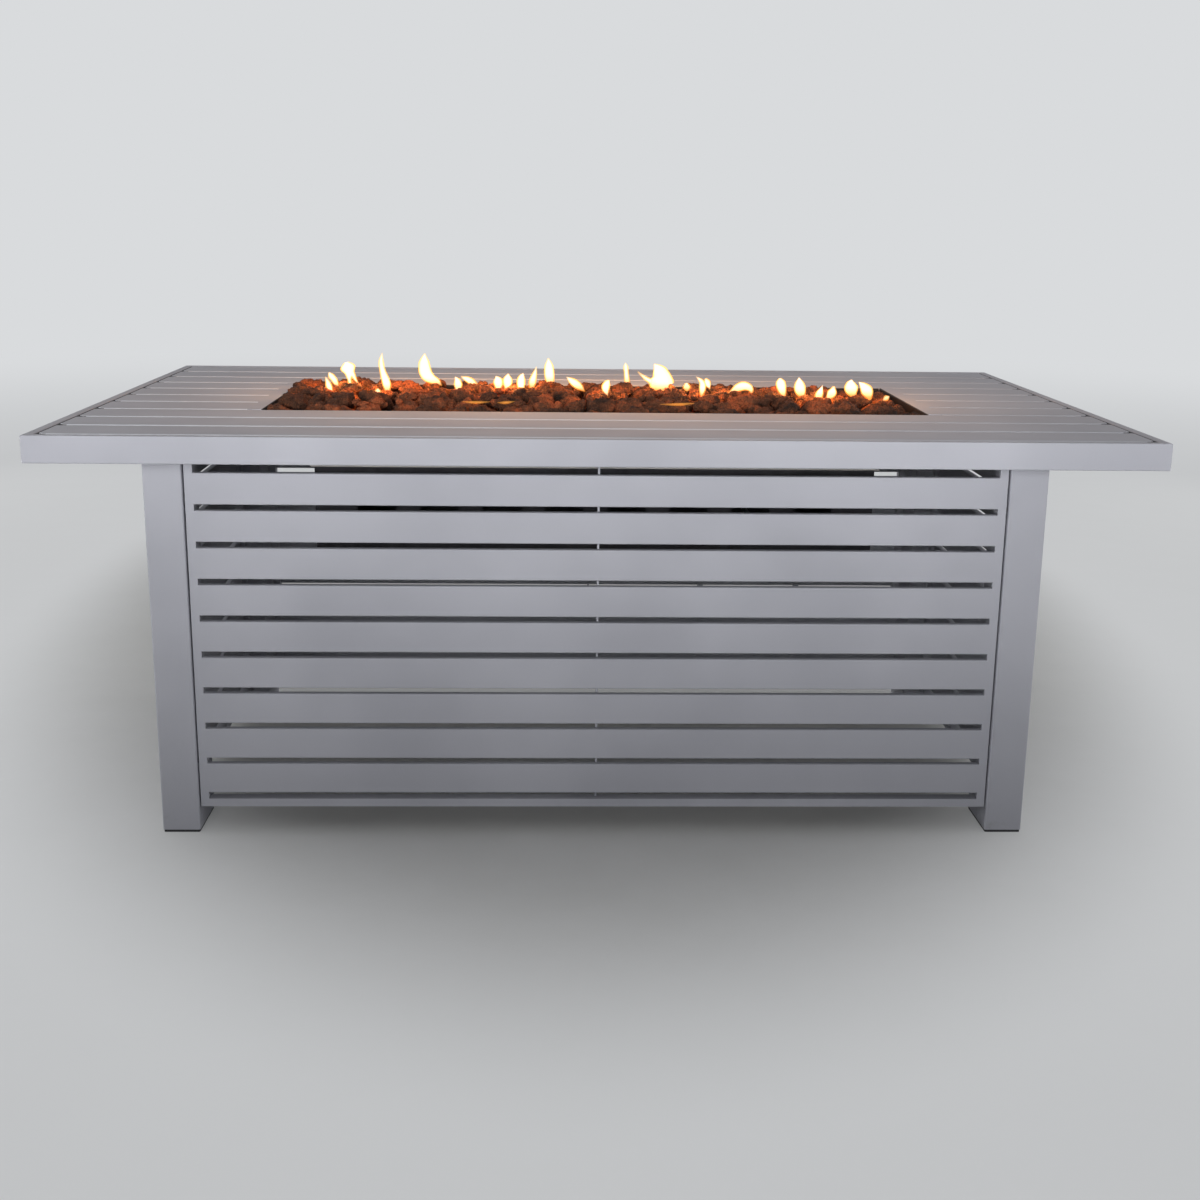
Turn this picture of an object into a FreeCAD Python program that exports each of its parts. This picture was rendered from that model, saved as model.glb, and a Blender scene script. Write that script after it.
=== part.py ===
# Fire pit table: a slatted aluminium patio table with a gas burner under lava rock.
# Millimetres. +X runs along the table, +Y to the back, +Z up.
# The origin is the middle of the table's footprint, on the ground.

import FreeCAD, Part
import math
import os
import random
import Sketcher

from FreeCAD import Placement, Rotation, Vector

doc = FreeCAD.newDocument("FirePitTable")
sheet = doc.addObject("Spreadsheet::Sheet", "Sizes")
parts = []


# A length that knows its number and the spreadsheet formula that gives it,
# so that one line of arithmetic both places geometry and binds it to the sheet.
class Size:
    def __init__(self, value, text):
        self.value = float(value)
        self.text = text

    def joined(self, other, sign, value):
        return Size(value, "(%s %s %s)" % (self.text, sign, other.text))

    def __add__(self, other):
        other = asSize(other)
        return self.joined(other, "+", self.value + other.value)

    def __sub__(self, other):
        other = asSize(other)
        return self.joined(other, "-", self.value - other.value)

    def __mul__(self, other):
        other = asSize(other)
        return self.joined(other, "*", self.value * other.value)

    def __truediv__(self, other):
        other = asSize(other)
        return self.joined(other, "/", self.value / other.value)

    def __neg__(self):
        return Size(-self.value, "(0 - %s)" % self.text)

    def __radd__(self, other):
        return asSize(other) + self

    def __rsub__(self, other):
        return asSize(other) - self

    def __rmul__(self, other):
        return asSize(other) * self


def asSize(number):
    return number if isinstance(number, Size) else Size(number, repr(float(number)))


sizes = {
    # Tabletop
    "tableLength": 1524,
    "tableDepth": 945,
    "tableHeight": 610,
    "apronHeight": 37,
    "railWidth": 16,
    "railWall": 2,
    "railRound": 1.5,
    "lipWidth": 12,
    "lipThick": 3,
    "boardThick": 20,
    "boardWall": 1.8,
    "boardRound": 3.5,
    "boardGap": 2,
    "boardEndGap": 1.5,
    "sideRows": 3,
    "openingRows": 4,
    "openingLength": 1000,
    "crossbarWidth": 22,
    "bearerWidth": 30,
    "bearerWall": 2,
    "bearerInset": 15,
    # Base frame
    "endOverhang": 120,
    "sideOverhang": 133,
    "legWidth": 55,
    "legDepth": 100,
    "legWall": 3,
    "legRound": 2.5,
    "glideThick": 4,
    "glideInset": 1,
    "glidePlug": 12,
    "glideFit": 0.3,
    "beamHeight": 10,
    "beamDepth": 20,
    "beamWall": 2,
    # Slatted panels
    "panelSetback": 5,
    "panelFloorGap": 39,
    "panelSideGap": 2,
    "frameBar": 12,
    "frameDepth": 20,
    "slatHeight": 45.5,
    "slatThick": 12,
    "slatWall": 1.2,
    "slatRound": 2,
    "slatCount": 9,
    "slatTopGap": 12,
    "slatBottomGap": 9.5,
    "mullionWidth": 3,
    "spacerRadius": 6,
    "spacerEndInset": 70,
    # Control bay in the rear panel
    "bayCentre": 300,
    "bayWidth": 180,
    "bayRows": 3,
    "bayBar": 10,
    "bayGap": 1,
    "plateThick": 2,
    "plateRound": 2,
    # Gas valve and its knob
    "knobAcross": 38,
    "knobRise": 17,
    "knobRadius": 22,
    "knobLength": 24,
    "knobSkirt": 9,
    "knobTravel": 3,
    "knobAir": 1.5,
    "gripCount": 12,
    "gripRadius": 3.2,
    "knobBevel": 1.5,
    "pointerWidth": 2,
    "pointerDepth": 1,
    "stemRadius": 4,
    "stemFit": 0.05,
    "stemReach": 20,
    "stemDepth": 26,
    "valveBlock": 36,
    "valveLength": 46,
    "valveRound": 4,
    "neckRadius": 9,
    "nutThick": 4,
    "nutFlats": 26,
    "nutRoom": 1,
    "portRadius": 8,
    "portLength": 8,
    "portBack": 34,
    # Igniter
    "buttonAcross": 42,
    "buttonRadius": 9,
    "buttonTravel": 5,
    "bezelRadius": 13,
    "bezelLength": 6,
    "bezelBevel": 1,
    "igniterNutWall": 4,
    "igniterRadius": 11,
    "igniterLength": 50,
    "buttonFit": 0.3,
    # Gas inlet and pipes
    "inletAcross": 6,
    "inletDrop": 48,
    "inletRadius": 7.94,
    "inletReach": 20,
    "inletCollar": 5,
    "inletFlats": 22,
    "noseRadius": 4.4,
    "noseLength": 3,
    "tailRadius": 7,
    "tailNutWall": 4,
    "inletTail": 16,
    "pipeRadius": 4,
    "pipeDrop": 120,
    "smallBend": 15,
    "pipeBend": 30,
    "longBend": 60,
    "leadRadius": 1.25,
    "leadBend": 20,
    "leadStep": 10,
    "pipeRoom": 2,
    "leadRoom": 1,
    # Fire tray, shield and burner
    "trayGap": 1,
    "trayWall": 1.5,
    "trayFlange": 13,
    "trayDepth": 60,
    "trayRound": 1.2,
    "screwRadius": 2,
    "screwHead": 4.2,
    "shieldLength": 860,
    "shieldDepth": 300,
    "shieldDrop": 150,
    "shieldFlange": 6,
    "shieldLip": 12,
    "ventCount": 8,
    "ventLength": 60,
    "ventHeight": 8,
    "ventGap": 36,
    "burnerLength": 840,
    "burnerSpread": 180,
    "burnerRadius": 9.5,
    "burnerWall": 1.2,
    "crossRadius": 8.5,
    "dropRadius": 7.5,
    "burnerLift": 6,
    "footWidth": 20,
    "footInset": 84,
    "portCount": 10,
    "portPitch": 84,
    "flamePortRadius": 1.5,
    "mixerDrop": 30,
    "mixerLength": 55,
    "mixerSocket": 20,
    "mixerWall": 1.5,
    "mixerCollar": 2,
    "mixerCollarLength": 7,
    "mixerBaseLength": 9,
    "nozzleRadius": 2.4,
    "airHoleLevel": 18,
    "clearFit": 0.3,
    "hoodAcross": -60,
    "hoodBack": 40,
    "hoodSide": 40,
    "rodRadius": 3,
    "rodDrop": 15,
    "rodRise": 14,
    "rodTip": 14,
    "tipRadius": 1.2,
    "rodCollar": 2,
    "hoodWall": 1,
    "windowRadius": 2.5,
    "windowPitch": 10,
    "gravelDrop": 42,
    "rockRise": 22,
    "rockColumns": 16,
    "rockLines": 6,
    # Access door
    "doorHingeGap": 4,
    "doorLatchGap": 3,
    "doorTopGap": 2,
    "leafThick": 1.6,
    "leafWidth": 18,
    "hingeHeight": 60,
    "hingeInset": 70,
    "knuckleRadius": 4,
    "pinRadius": 2,
    "pinFit": 0.05,
    "knuckleGap": 0.3,
    "pinHead": 3.4,
    "pullRadius": 11,
    "pullReach": 20,
    "pullInset": 45,
    "pullNeck": 5,
    "pullBase": 8.3,
    "pullBaseLength": 2,
    "pullFace": 5,
    "pullBevel": 2,
    "catchHeight": 40,
    "catchWidth": 20,
    "catchDepth": 14,
    "catchRound": 3,
    "poleHeight": 2,
    "poleInset": 4,
    "poleGroove": 1.5,
    "strikeThick": 1.5,
}


class Named:
    pass


s = Named()
for row, (alias, value) in enumerate(sizes.items(), 1):
    sheet.set("A%d" % row, alias)
    sheet.set("B%d" % row, str(value))
    sheet.setAlias("B%d" % row, alias)
    setattr(s, alias, Size(value, "Sizes." + alias))
doc.recompute()

# Levels and places that several pieces share
boardUnder = s.tableHeight - s.boardThick
baseTop = s.tableHeight - s.apronHeight
boardPitch = (s.tableDepth - 2 * s.railWidth) / (2 * s.sideRows + s.openingRows)
boardWidth = boardPitch - s.boardGap
openingDepth = boardPitch * s.openingRows + s.boardGap
railReach = s.railWidth + s.lipWidth
legOuterX = s.tableLength / 2 - s.endOverhang
legOuterY = s.tableDepth / 2 - s.sideOverhang
legInnerX = legOuterX - s.legWidth
legInnerY = legOuterY - s.legDepth
panelFaceX = legOuterX - s.panelSetback
panelFaceY = legOuterY - s.panelSetback
panelTop = baseTop - s.beamHeight
slatsTop = panelTop - s.frameBar - s.slatTopGap
slatsFoot = s.panelFloorGap + s.frameBar + s.slatBottomGap
slatPitch = (slatsTop - slatsFoot - s.slatHeight) / (s.slatCount - 1)
bayFoot = slatsFoot + slatPitch * (s.slatCount - s.bayRows)


# Drawing helpers

def newBody(name):
    body = doc.addObject("PartDesign::Body", name)
    body.Label = name
    return body


def newSketch(body, role, offset=None):
    plane = [item for item in body.Origin.OriginFeatures if item.Role == role][0]
    sketch = body.newObject("Sketcher::SketchObject", body.Name + "Sketch")
    sketch.AttachmentSupport = [(plane, "")]
    sketch.MapMode = "FlatFace"
    if offset is not None:
        sketch.setExpression("AttachmentOffset.Base.z", offset.text)
    return sketch


def pinPoint(sketch, line, end, point):
    for kind, size in zip(("DistanceX", "DistanceY"), point):
        rule = Sketcher.Constraint(kind, -1, 1, line, end, size.value)
        index = sketch.addConstraint(rule)
        sketch.setExpression("Constraints[%d]" % index, size.text)


def addOutline(sketch, points):
    points = [(asSize(x), asSize(y)) for x, y in points]
    first = sketch.GeometryCount
    count = len(points)
    for index in range(count):
        start = points[index]
        end = points[(index + 1) % count]
        line = Part.LineSegment(Vector(start[0].value, start[1].value, 0),
                                Vector(end[0].value, end[1].value, 0))
        sketch.addGeometry(line, False)
    for index in range(count):
        following = first + (index + 1) % count
        sketch.addConstraint(Sketcher.Constraint("Coincident", first + index, 2, following, 1))
    for index, point in enumerate(points):
        pinPoint(sketch, first + index, 1, point)


def addBox(sketch, left, right, low, high):
    addOutline(sketch, [(left, low), (right, low), (right, high), (left, high)])


def addCircle(sketch, across, along, radius):
    across, along, radius = asSize(across), asSize(along), asSize(radius)
    centre = Vector(across.value, along.value, 0)
    index = sketch.addGeometry(Part.Circle(centre, Vector(0, 0, 1), radius.value), False)
    pinPoint(sketch, index, 3, (across, along))
    rule = sketch.addConstraint(Sketcher.Constraint("Radius", index, radius.value))
    sketch.setExpression("Constraints[%d]" % rule, radius.text)


def pad(body, sketch, length, middle=False, back=False):
    feature = body.newObject("PartDesign::Pad", body.Name + "Pad")
    feature.Profile = sketch
    feature.setExpression("Length", asSize(length).text)
    if middle:
        feature.SideType = "Symmetric"
    feature.Reversed = back
    doc.recompute()
    return feature


def pocket(body, sketch, length=None, back=False):
    before = body.Shape.Volume
    feature = body.newObject("PartDesign::Pocket", body.Name + "Pocket")
    feature.Profile = sketch
    if length is None:
        feature.Type = "ThroughAll"
        feature.SideType = "Symmetric"
    else:
        feature.setExpression("Length", asSize(length).text)
    feature.Reversed = back
    doc.recompute()
    if not body.Shape.Volume < before:
        raise RuntimeError("a cut in %s removes nothing" % body.Name)
    return feature


def revolve(body, sketch, axis):
    feature = body.newObject("PartDesign::Revolution", body.Name + "Turned")
    feature.Profile = sketch
    feature.ReferenceAxis = (sketch, [axis])
    feature.Angle = 360
    doc.recompute()
    return feature


def longEdges(shape, axis, chosen=None):
    names = []
    for index, edge in enumerate(shape.Edges, 1):
        ends = [vertex.Point for vertex in edge.Vertexes]
        if len(ends) < 2:
            continue
        run = ends[1] - ends[0]
        straight = abs(abs(run.dot(axis)) - run.Length) < 1e-6
        if straight and (chosen is None or chosen(ends[0])):
            names.append("Edge%d" % index)
    return names


def roundEdges(body, feature, names, radius, kind="Fillet"):
    edging = body.newObject("PartDesign::" + kind, body.Name + kind)
    edging.Base = (feature, names)
    edging.setExpression("Radius" if kind == "Fillet" else "Size", asSize(radius).text)
    doc.recompute()
    return edging


def repeat(body, sketch, axis, count, pitch, features=None):
    pattern = body.newObject("PartDesign::LinearPattern", body.Name + "Row")
    if features is None:
        pattern.TransformMode = "Whole shape"
    else:
        pattern.Originals = features
    pattern.Direction = (sketch, [axis])
    pattern.setExpression("Occurrences", asSize(count).text)
    pattern.setExpression("Length", (asSize(pitch) * (count - 1)).text)
    body.Tip = pattern
    doc.recompute()
    return pattern


def place(item, x=0, y=0, z=0, turn=0, about=Vector(0, 0, 1)):
    item.Placement = Placement(Vector(0, 0, 0), Rotation(about, turn))
    for letter, size in zip("xyz", (x, y, z)):
        item.setExpression("Placement.Base." + letter, asSize(size).text)


def finish(item, label):
    item.Label = label
    parts.append(item)
    return item


# Primitive helpers, with corners and centres in the table's own frame

def block(name, x, y, z):
    box = doc.addObject("Part::Box", name)
    low = [asSize(pair[0]) for pair in (x, y, z)]
    high = [asSize(pair[1]) for pair in (x, y, z)]
    for prop, start, end in zip(("Length", "Width", "Height"), low, high):
        box.setExpression(prop, (end - start).text)
    place(box, *low)
    return box


AXES = {"x": (Vector(0, 1, 0), 90), "y": (Vector(1, 0, 0), -90), "z": (Vector(0, 0, 1), 0)}


def rod(name, axis, radius, length, x, y, z):
    item = doc.addObject("Part::Cylinder", name)
    item.setExpression("Radius", asSize(radius).text)
    item.setExpression("Height", asSize(length).text)
    about, turn = AXES[axis]
    place(item, x, y, z, turn, about)
    return item


def joined(name, items):
    fuse = doc.addObject("Part::MultiFuse", name)
    fuse.Shapes = items
    doc.recompute()
    return fuse


def less(name, base, tool):
    cut = doc.addObject("Part::Cut", name)
    cut.Base = base
    cut.Tool = tool
    doc.recompute()
    return cut


def together(name, items):
    group = doc.addObject("Part::Compound", name)
    group.Links = items
    doc.recompute()
    return group


def pipeAlong(points, bends, radius):
    edges = []
    start = points[0]
    for index in range(1, len(points) - 1):
        corner = points[index]
        before = (points[index - 1] - corner).normalize()
        after = (points[index + 1] - corner).normalize()
        half = before.getAngle(after) / 2
        back = bends[index - 1] / math.tan(half)
        enter = corner + before * back
        leave = corner + after * back
        middle = corner + (before + after).normalize() * (bends[index - 1] * (1 / math.sin(half) - 1))
        edges.append(Part.LineSegment(start, enter).toShape())
        edges.append(Part.Arc(enter, middle, leave).toShape())
        start = leave
    edges.append(Part.LineSegment(start, points[-1]).toShape())
    path = Part.Wire(edges)
    ring = Part.Wire([Part.makeCircle(radius, points[0], points[1] - points[0])])
    tube = path.makePipeShell([ring], True, True)
    section = math.pi * radius * radius
    if abs(tube.Volume / (section * path.Length) - 1) > 0.02:
        raise RuntimeError("a pipe's volume does not match its section and length")
    return tube


def shaped(name, shape):
    feature = doc.addObject("Part::Feature", name)
    feature.Shape = shape
    feature.Placement = Placement()
    return finish(feature, name)


# Tabletop rim: four mitred hollow rails with a lip that carries the boards

def rimRail(name, run, out, turn):
    body = newBody(name)
    profile = newSketch(body, "YZ_Plane")
    face = -out
    inner = face + s.railWidth
    tip = inner + s.lipWidth
    lipFoot = boardUnder - s.lipThick
    addOutline(profile, [(face, baseTop), (inner, baseTop), (inner, lipFoot), (tip, lipFoot),
                         (tip, boardUnder), (inner, boardUnder), (inner, s.tableHeight),
                         (face, s.tableHeight)])
    addBox(profile, face + s.railWall, inner - s.railWall, baseTop + s.railWall,
           s.tableHeight - s.railWall)
    bar = pad(body, profile, run, middle=True)
    outer = longEdges(bar.Shape, Vector(1, 0, 0), lambda point: abs(point.y - face.value) < 1e-6)
    roundEdges(body, bar, outer, s.railRound)
    mitre = newSketch(body, "XY_Plane")
    end = run / 2
    for side in (-1, 1):
        corner = side * end
        addOutline(mitre, [(corner, face), (corner, tip), (side * (end - railReach), tip)])
    pocket(body, mitre)
    place(body, turn=turn)
    finish(body, name)


rimRail("top_rail_front", s.tableLength, s.tableDepth / 2, 0)
rimRail("top_rail_right", s.tableDepth, s.tableLength / 2, 90)
rimRail("top_rail_rear", s.tableLength, s.tableDepth / 2, 180)
rimRail("top_rail_left", s.tableDepth, s.tableLength / 2, -90)


# Tabletop boards: hollow planks with rounded top edges

def board(name, length, width, x, y, turn=0, rows=None):
    body = newBody(name)
    profile = newSketch(body, "YZ_Plane")
    half = width / 2
    addBox(profile, -half, half, 0, s.boardThick)
    addBox(profile, s.boardWall - half, half - s.boardWall, s.boardWall, s.boardThick - s.boardWall)
    bar = pad(body, profile, length, middle=True)
    top = s.boardThick.value
    edges = longEdges(bar.Shape, Vector(1, 0, 0), lambda point: abs(point.z - top) < 1e-6)
    roundEdges(body, bar, edges, s.boardRound)
    if rows is not None:
        repeat(body, profile, "H_Axis", rows, boardPitch)
    place(body, x, y, boardUnder, turn)
    finish(body, name)


fullBoard = s.tableLength - 2 * (s.railWidth + s.boardEndGap)
shortInner = s.openingLength / 2 + s.crossbarWidth
shortBoard = fullBoard / 2 - shortInner
firstRow = boardPitch / 2 + s.railWidth - s.tableDepth / 2
for row in range(int(s.sideRows.value)):
    behind = s.sideRows + s.openingRows + row
    board("top_board_front_%d" % (row + 1), fullBoard, boardWidth, 0, firstRow + boardPitch * row)
    board("top_board_rear_%d" % (row + 1), fullBoard, boardWidth, 0, firstRow + boardPitch * behind)
for side, word in ((-1, "left"), (1, "right")):
    board("top_boards_" + word, shortBoard, boardWidth, side * (shortInner + shortBoard / 2),
          firstRow + boardPitch * s.sideRows, 0, s.openingRows)
    board("opening_crossbar_" + word, openingDepth - 2 * s.boardGap, s.crossbarWidth,
          side * (s.openingLength / 2 + s.crossbarWidth / 2), 0, 90)


# Bearers under the boards: two over the leg lines, two beside the opening

def bearers():
    body = newBody("top_bearers")
    profile = newSketch(body, "XZ_Plane")
    outerLine = legOuterX - s.legWidth / 2
    innerLine = s.openingLength / 2 + s.bearerInset + s.bearerWidth / 2
    for centre in (-outerLine, -innerLine, innerLine, outerLine):
        left = centre - s.bearerWidth / 2
        right = centre + s.bearerWidth / 2
        addBox(profile, left, right, baseTop, boardUnder)
        addBox(profile, left + s.bearerWall, right - s.bearerWall, baseTop + s.bearerWall,
               boardUnder - s.bearerWall)
    pad(body, profile, s.tableDepth - 2 * railReach, middle=True)
    finish(body, "top_bearers")


bearers()


# Legs: rectangular tubes, each on a plastic glide

def leg(name, sideX, sideY):
    body = newBody(name)
    profile = newSketch(body, "XY_Plane", s.glideThick)
    halfX = s.legWidth / 2
    halfY = s.legDepth / 2
    addBox(profile, -halfX, halfX, -halfY, halfY)
    addBox(profile, s.legWall - halfX, halfX - s.legWall, s.legWall - halfY, halfY - s.legWall)
    tube = pad(body, profile, baseTop - s.glideThick)
    limit = halfX.value
    corners = longEdges(tube.Shape, Vector(0, 0, 1), lambda point: abs(abs(point.x) - limit) < 1e-6)
    roundEdges(body, tube, corners, s.legRound)
    place(body, sideX * (legOuterX - halfX), sideY * (legOuterY - halfY))
    finish(body, name)


def glides():
    body = newBody("foot_glides")
    centreX = legOuterX - s.legWidth / 2
    centreY = legOuterY - s.legDepth / 2
    sole = newSketch(body, "XY_Plane")
    plug = newSketch(body, "XY_Plane", s.glideThick)
    for sketch, inset in ((sole, s.glideInset), (plug, s.legWall + s.glideFit)):
        halfX = s.legWidth / 2 - inset
        halfY = s.legDepth / 2 - inset
        for sideX in (-1, 1):
            for sideY in (-1, 1):
                addBox(sketch, sideX * centreX - halfX, sideX * centreX + halfX,
                       sideY * centreY - halfY, sideY * centreY + halfY)
    base = pad(body, sole, s.glideThick)
    rim = longEdges(base.Shape, Vector(0, 0, 1))
    roundEdges(body, base, rim, s.legRound)
    pad(body, plug, s.glidePlug)
    finish(body, "foot_glides")


for sideX, wordX in ((-1, "left"), (1, "right")):
    for sideY, wordY in ((-1, "front"), (1, "rear")):
        leg("leg_%s_%s" % (wordY, wordX), sideX, sideY)
glides()


# Beams between the legs, just above the panels

def beam(name, length, x, y, turn):
    body = newBody(name)
    profile = newSketch(body, "YZ_Plane")
    addBox(profile, 0, s.beamDepth, panelTop, baseTop)
    addBox(profile, s.beamWall, s.beamDepth - s.beamWall, panelTop + s.beamWall, baseTop - s.beamWall)
    pad(body, profile, length, middle=True)
    place(body, x, y, 0, turn)
    finish(body, name)


beam("base_beam_front", 2 * legInnerX, 0, -panelFaceY, 0)
beam("base_beam_right", 2 * legInnerY, panelFaceX, 0, 90)
beam("base_beam_rear", 2 * legInnerX, 0, panelFaceY, 180)
beam("base_beam_left", 2 * legInnerY, -panelFaceX, 0, -90)


# Slatted panels. Each is drawn with its outer face on the plane y = 0, looking out to -Y.

def panelFrame(name, width, top, bars, x, y, turn):
    body = newBody(name)
    half = width / 2
    profile = newSketch(body, "XZ_Plane")
    addBox(profile, -half, half, s.panelFloorGap, top)
    addBox(profile, s.frameBar - half, half - s.frameBar, s.panelFloorGap + s.frameBar,
           top - s.frameBar)
    pad(body, profile, s.frameDepth, back=True)
    if bars:
        strips = newSketch(body, "XZ_Plane", -s.slatThick)
        for centre, barWidth in bars:
            addBox(strips, centre - barWidth / 2, centre + barWidth / 2,
                   s.panelFloorGap + s.frameBar, top - s.frameBar)
        pad(body, strips, s.frameDepth - s.slatThick, back=True)
    place(body, x, y, 0, turn)
    finish(body, name)


def slatRun(body, left, right, foot, count):
    profile = newSketch(body, "YZ_Plane", left)
    addBox(profile, 0, s.slatThick, foot, foot + s.slatHeight)
    addBox(profile, s.slatWall, s.slatThick - s.slatWall, foot + s.slatWall,
           foot + s.slatHeight - s.slatWall)
    bar = pad(body, profile, right - left)
    low = foot.value
    high = foot.value + s.slatHeight.value

    def isCorner(point):
        onRun = left.value - 1e-6 < point.x < right.value + 1e-6
        onFace = min(abs(point.y), abs(point.y - s.slatThick.value)) < 1e-6
        return onRun and onFace and min(abs(point.z - low), abs(point.z - high)) < 1e-6

    rounded = roundEdges(body, bar, longEdges(bar.Shape, Vector(1, 0, 0), isCorner), s.slatRound)
    repeat(body, profile, "V_Axis", count, slatPitch, [bar, rounded])


def slats(name, width, x, y, turn):
    body = newBody(name)
    half = width / 2 - s.frameBar
    slatRun(body, -half, half, slatsFoot, s.slatCount)
    place(body, x, y, 0, turn)
    finish(body, name)


longPanel = 2 * (legInnerX - s.panelSideGap)
endPanel = 2 * (legInnerY - s.panelSideGap)
panelFrame("front_panel_frame", longPanel, panelTop, [(asSize(0), s.mullionWidth)], 0, -panelFaceY, 0)
slats("front_panel_slats", longPanel, 0, -panelFaceY, 0)
panelFrame("left_panel_frame", endPanel, panelTop, [], -panelFaceX, 0, -90)
slats("left_panel_slats", endPanel, -panelFaceX, 0, -90)

# The rear panel is turned half round, so its control bay lies at -bayCentre while it is drawn.
bayLeft = -s.bayCentre - s.bayWidth / 2
bayRight = -s.bayCentre + s.bayWidth / 2
panelFrame("rear_panel_frame", longPanel, panelTop,
           [(bayLeft, s.bayBar), (bayRight, s.bayBar), (asSize(0), s.mullionWidth)],
           0, panelFaceY, 180)


def rearSlats():
    body = newBody("rear_panel_slats")
    half = longPanel / 2 - s.frameBar
    slatRun(body, -half, half, slatsFoot, s.slatCount - s.bayRows)
    slatRun(body, -half, bayLeft - s.bayGap, bayFoot, s.bayRows)
    slatRun(body, bayRight + s.bayGap, half, bayFoot, s.bayRows)
    place(body, 0, panelFaceY, 0, 180)
    finish(body, "rear_panel_slats")


rearSlats()


# Spacer washers hold each fixed panel off its legs

def spacers():
    discs = []
    low = s.panelFloorGap + s.spacerEndInset
    high = panelTop - s.spacerEndInset
    middle = s.frameDepth / 2
    for level in (low, high):
        for sideY in (-1, 1):
            for start in (-legInnerX, legInnerX - s.panelSideGap):
                discs.append(rod("spacer", "x", s.spacerRadius, s.panelSideGap, start,
                                 sideY * (panelFaceY - middle), level))
        for start in (-legInnerY, legInnerY - s.panelSideGap):
            discs.append(rod("spacer", "y", s.spacerRadius, s.panelSideGap, middle - panelFaceX,
                             start, level))
    finish(together("panelSpacers", discs), "panel_spacers")


spacers()


# Access door: a slatted panel in the right end, hung on two butt hinges

doorTop = panelTop - s.doorTopGap
doorWidth = 2 * legInnerY - s.doorHingeGap - s.doorLatchGap
doorCentre = (s.doorLatchGap - s.doorHingeGap) / 2
doorBackX = panelFaceX - s.frameDepth
hingeX = legOuterX + s.knuckleRadius + s.knuckleGap
hingeY = legInnerY - s.doorHingeGap / 2
hingeFoot = s.panelFloorGap + s.hingeInset
hingePitch = doorTop - s.hingeInset - s.hingeHeight - hingeFoot
panelFrame("door_frame", doorWidth, doorTop, [], panelFaceX, doorCentre, 90)
slats("door_slats", doorWidth, panelFaceX, doorCentre, 90)


def hingeLeaves(name, near, far, kept):
    body = newBody(name)
    plate = newSketch(body, "XY_Plane", hingeFoot)
    addBox(plate, panelFaceX - s.leafWidth, hingeX, near, far)
    pad(body, plate, s.hingeHeight)
    barrel = newSketch(body, "XY_Plane", hingeFoot)
    addCircle(barrel, hingeX, hingeY, s.knuckleRadius)
    pad(body, barrel, s.hingeHeight)
    bore = newSketch(body, "XY_Plane", hingeFoot)
    addCircle(bore, hingeX, hingeY, s.pinRadius + s.pinFit)
    pocket(body, bore)
    third = s.hingeHeight / 3
    room = s.knuckleRadius + 1
    for knuckle in range(3):
        if knuckle in kept:
            continue
        low = hingeFoot + third * knuckle - s.knuckleGap / 2
        slot = newSketch(body, "XY_Plane", low)
        addBox(slot, hingeX - room, hingeX + room, hingeY - room, hingeY + room)
        pocket(body, slot, third + s.knuckleGap, back=True)
    repeat(body, plate, "N_Axis", 2, hingePitch)
    finish(body, name)


def hingePins():
    body = newBody("hinge_pins")
    headThick = s.pinRadius
    shank = newSketch(body, "XY_Plane", hingeFoot)
    addCircle(shank, hingeX, hingeY, s.pinRadius)
    pad(body, shank, s.hingeHeight)
    for level, downward in ((hingeFoot, True), (hingeFoot + s.hingeHeight, False)):
        head = newSketch(body, "XY_Plane", level)
        addCircle(head, hingeX, hingeY, s.pinHead)
        pad(body, head, headThick, back=downward)
    repeat(body, shank, "N_Axis", 2, hingePitch)
    finish(body, "hinge_pins")


doorEdge = legInnerY - s.doorHingeGap
hingeLeaves("leg_hinge_leaves", legInnerY - s.leafThick, legInnerY, (0, 2))
hingeLeaves("door_hinge_leaves", doorEdge, doorEdge + s.leafThick, (1,))
hingePins()


def doorPull():
    body = newBody("door_pull")
    outline = newSketch(body, "XY_Plane")
    front = -s.pullReach
    shoulder = front + s.pullFace
    addOutline(outline, [(0, 0), (s.pullBase, 0), (s.pullBase, -s.pullBaseLength),
                         (s.pullNeck, -2 * s.pullBaseLength), (s.pullNeck, shoulder + s.pullNeck),
                         (s.pullRadius, shoulder), (s.pullRadius, front + s.pullBevel),
                         (s.pullRadius - s.pullBevel, front), (0, front)])
    revolve(body, outline, "V_Axis")
    along = doorCentre - doorWidth / 2 + s.pullInset
    row = slatsFoot + slatPitch * (s.slatCount - 2) + s.slatHeight / 2
    place(body, panelFaceX, along, row, 90)
    finish(body, "door_pull")


doorPull()


# A magnetic catch on the front leg meets a steel strike plate on the door

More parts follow.
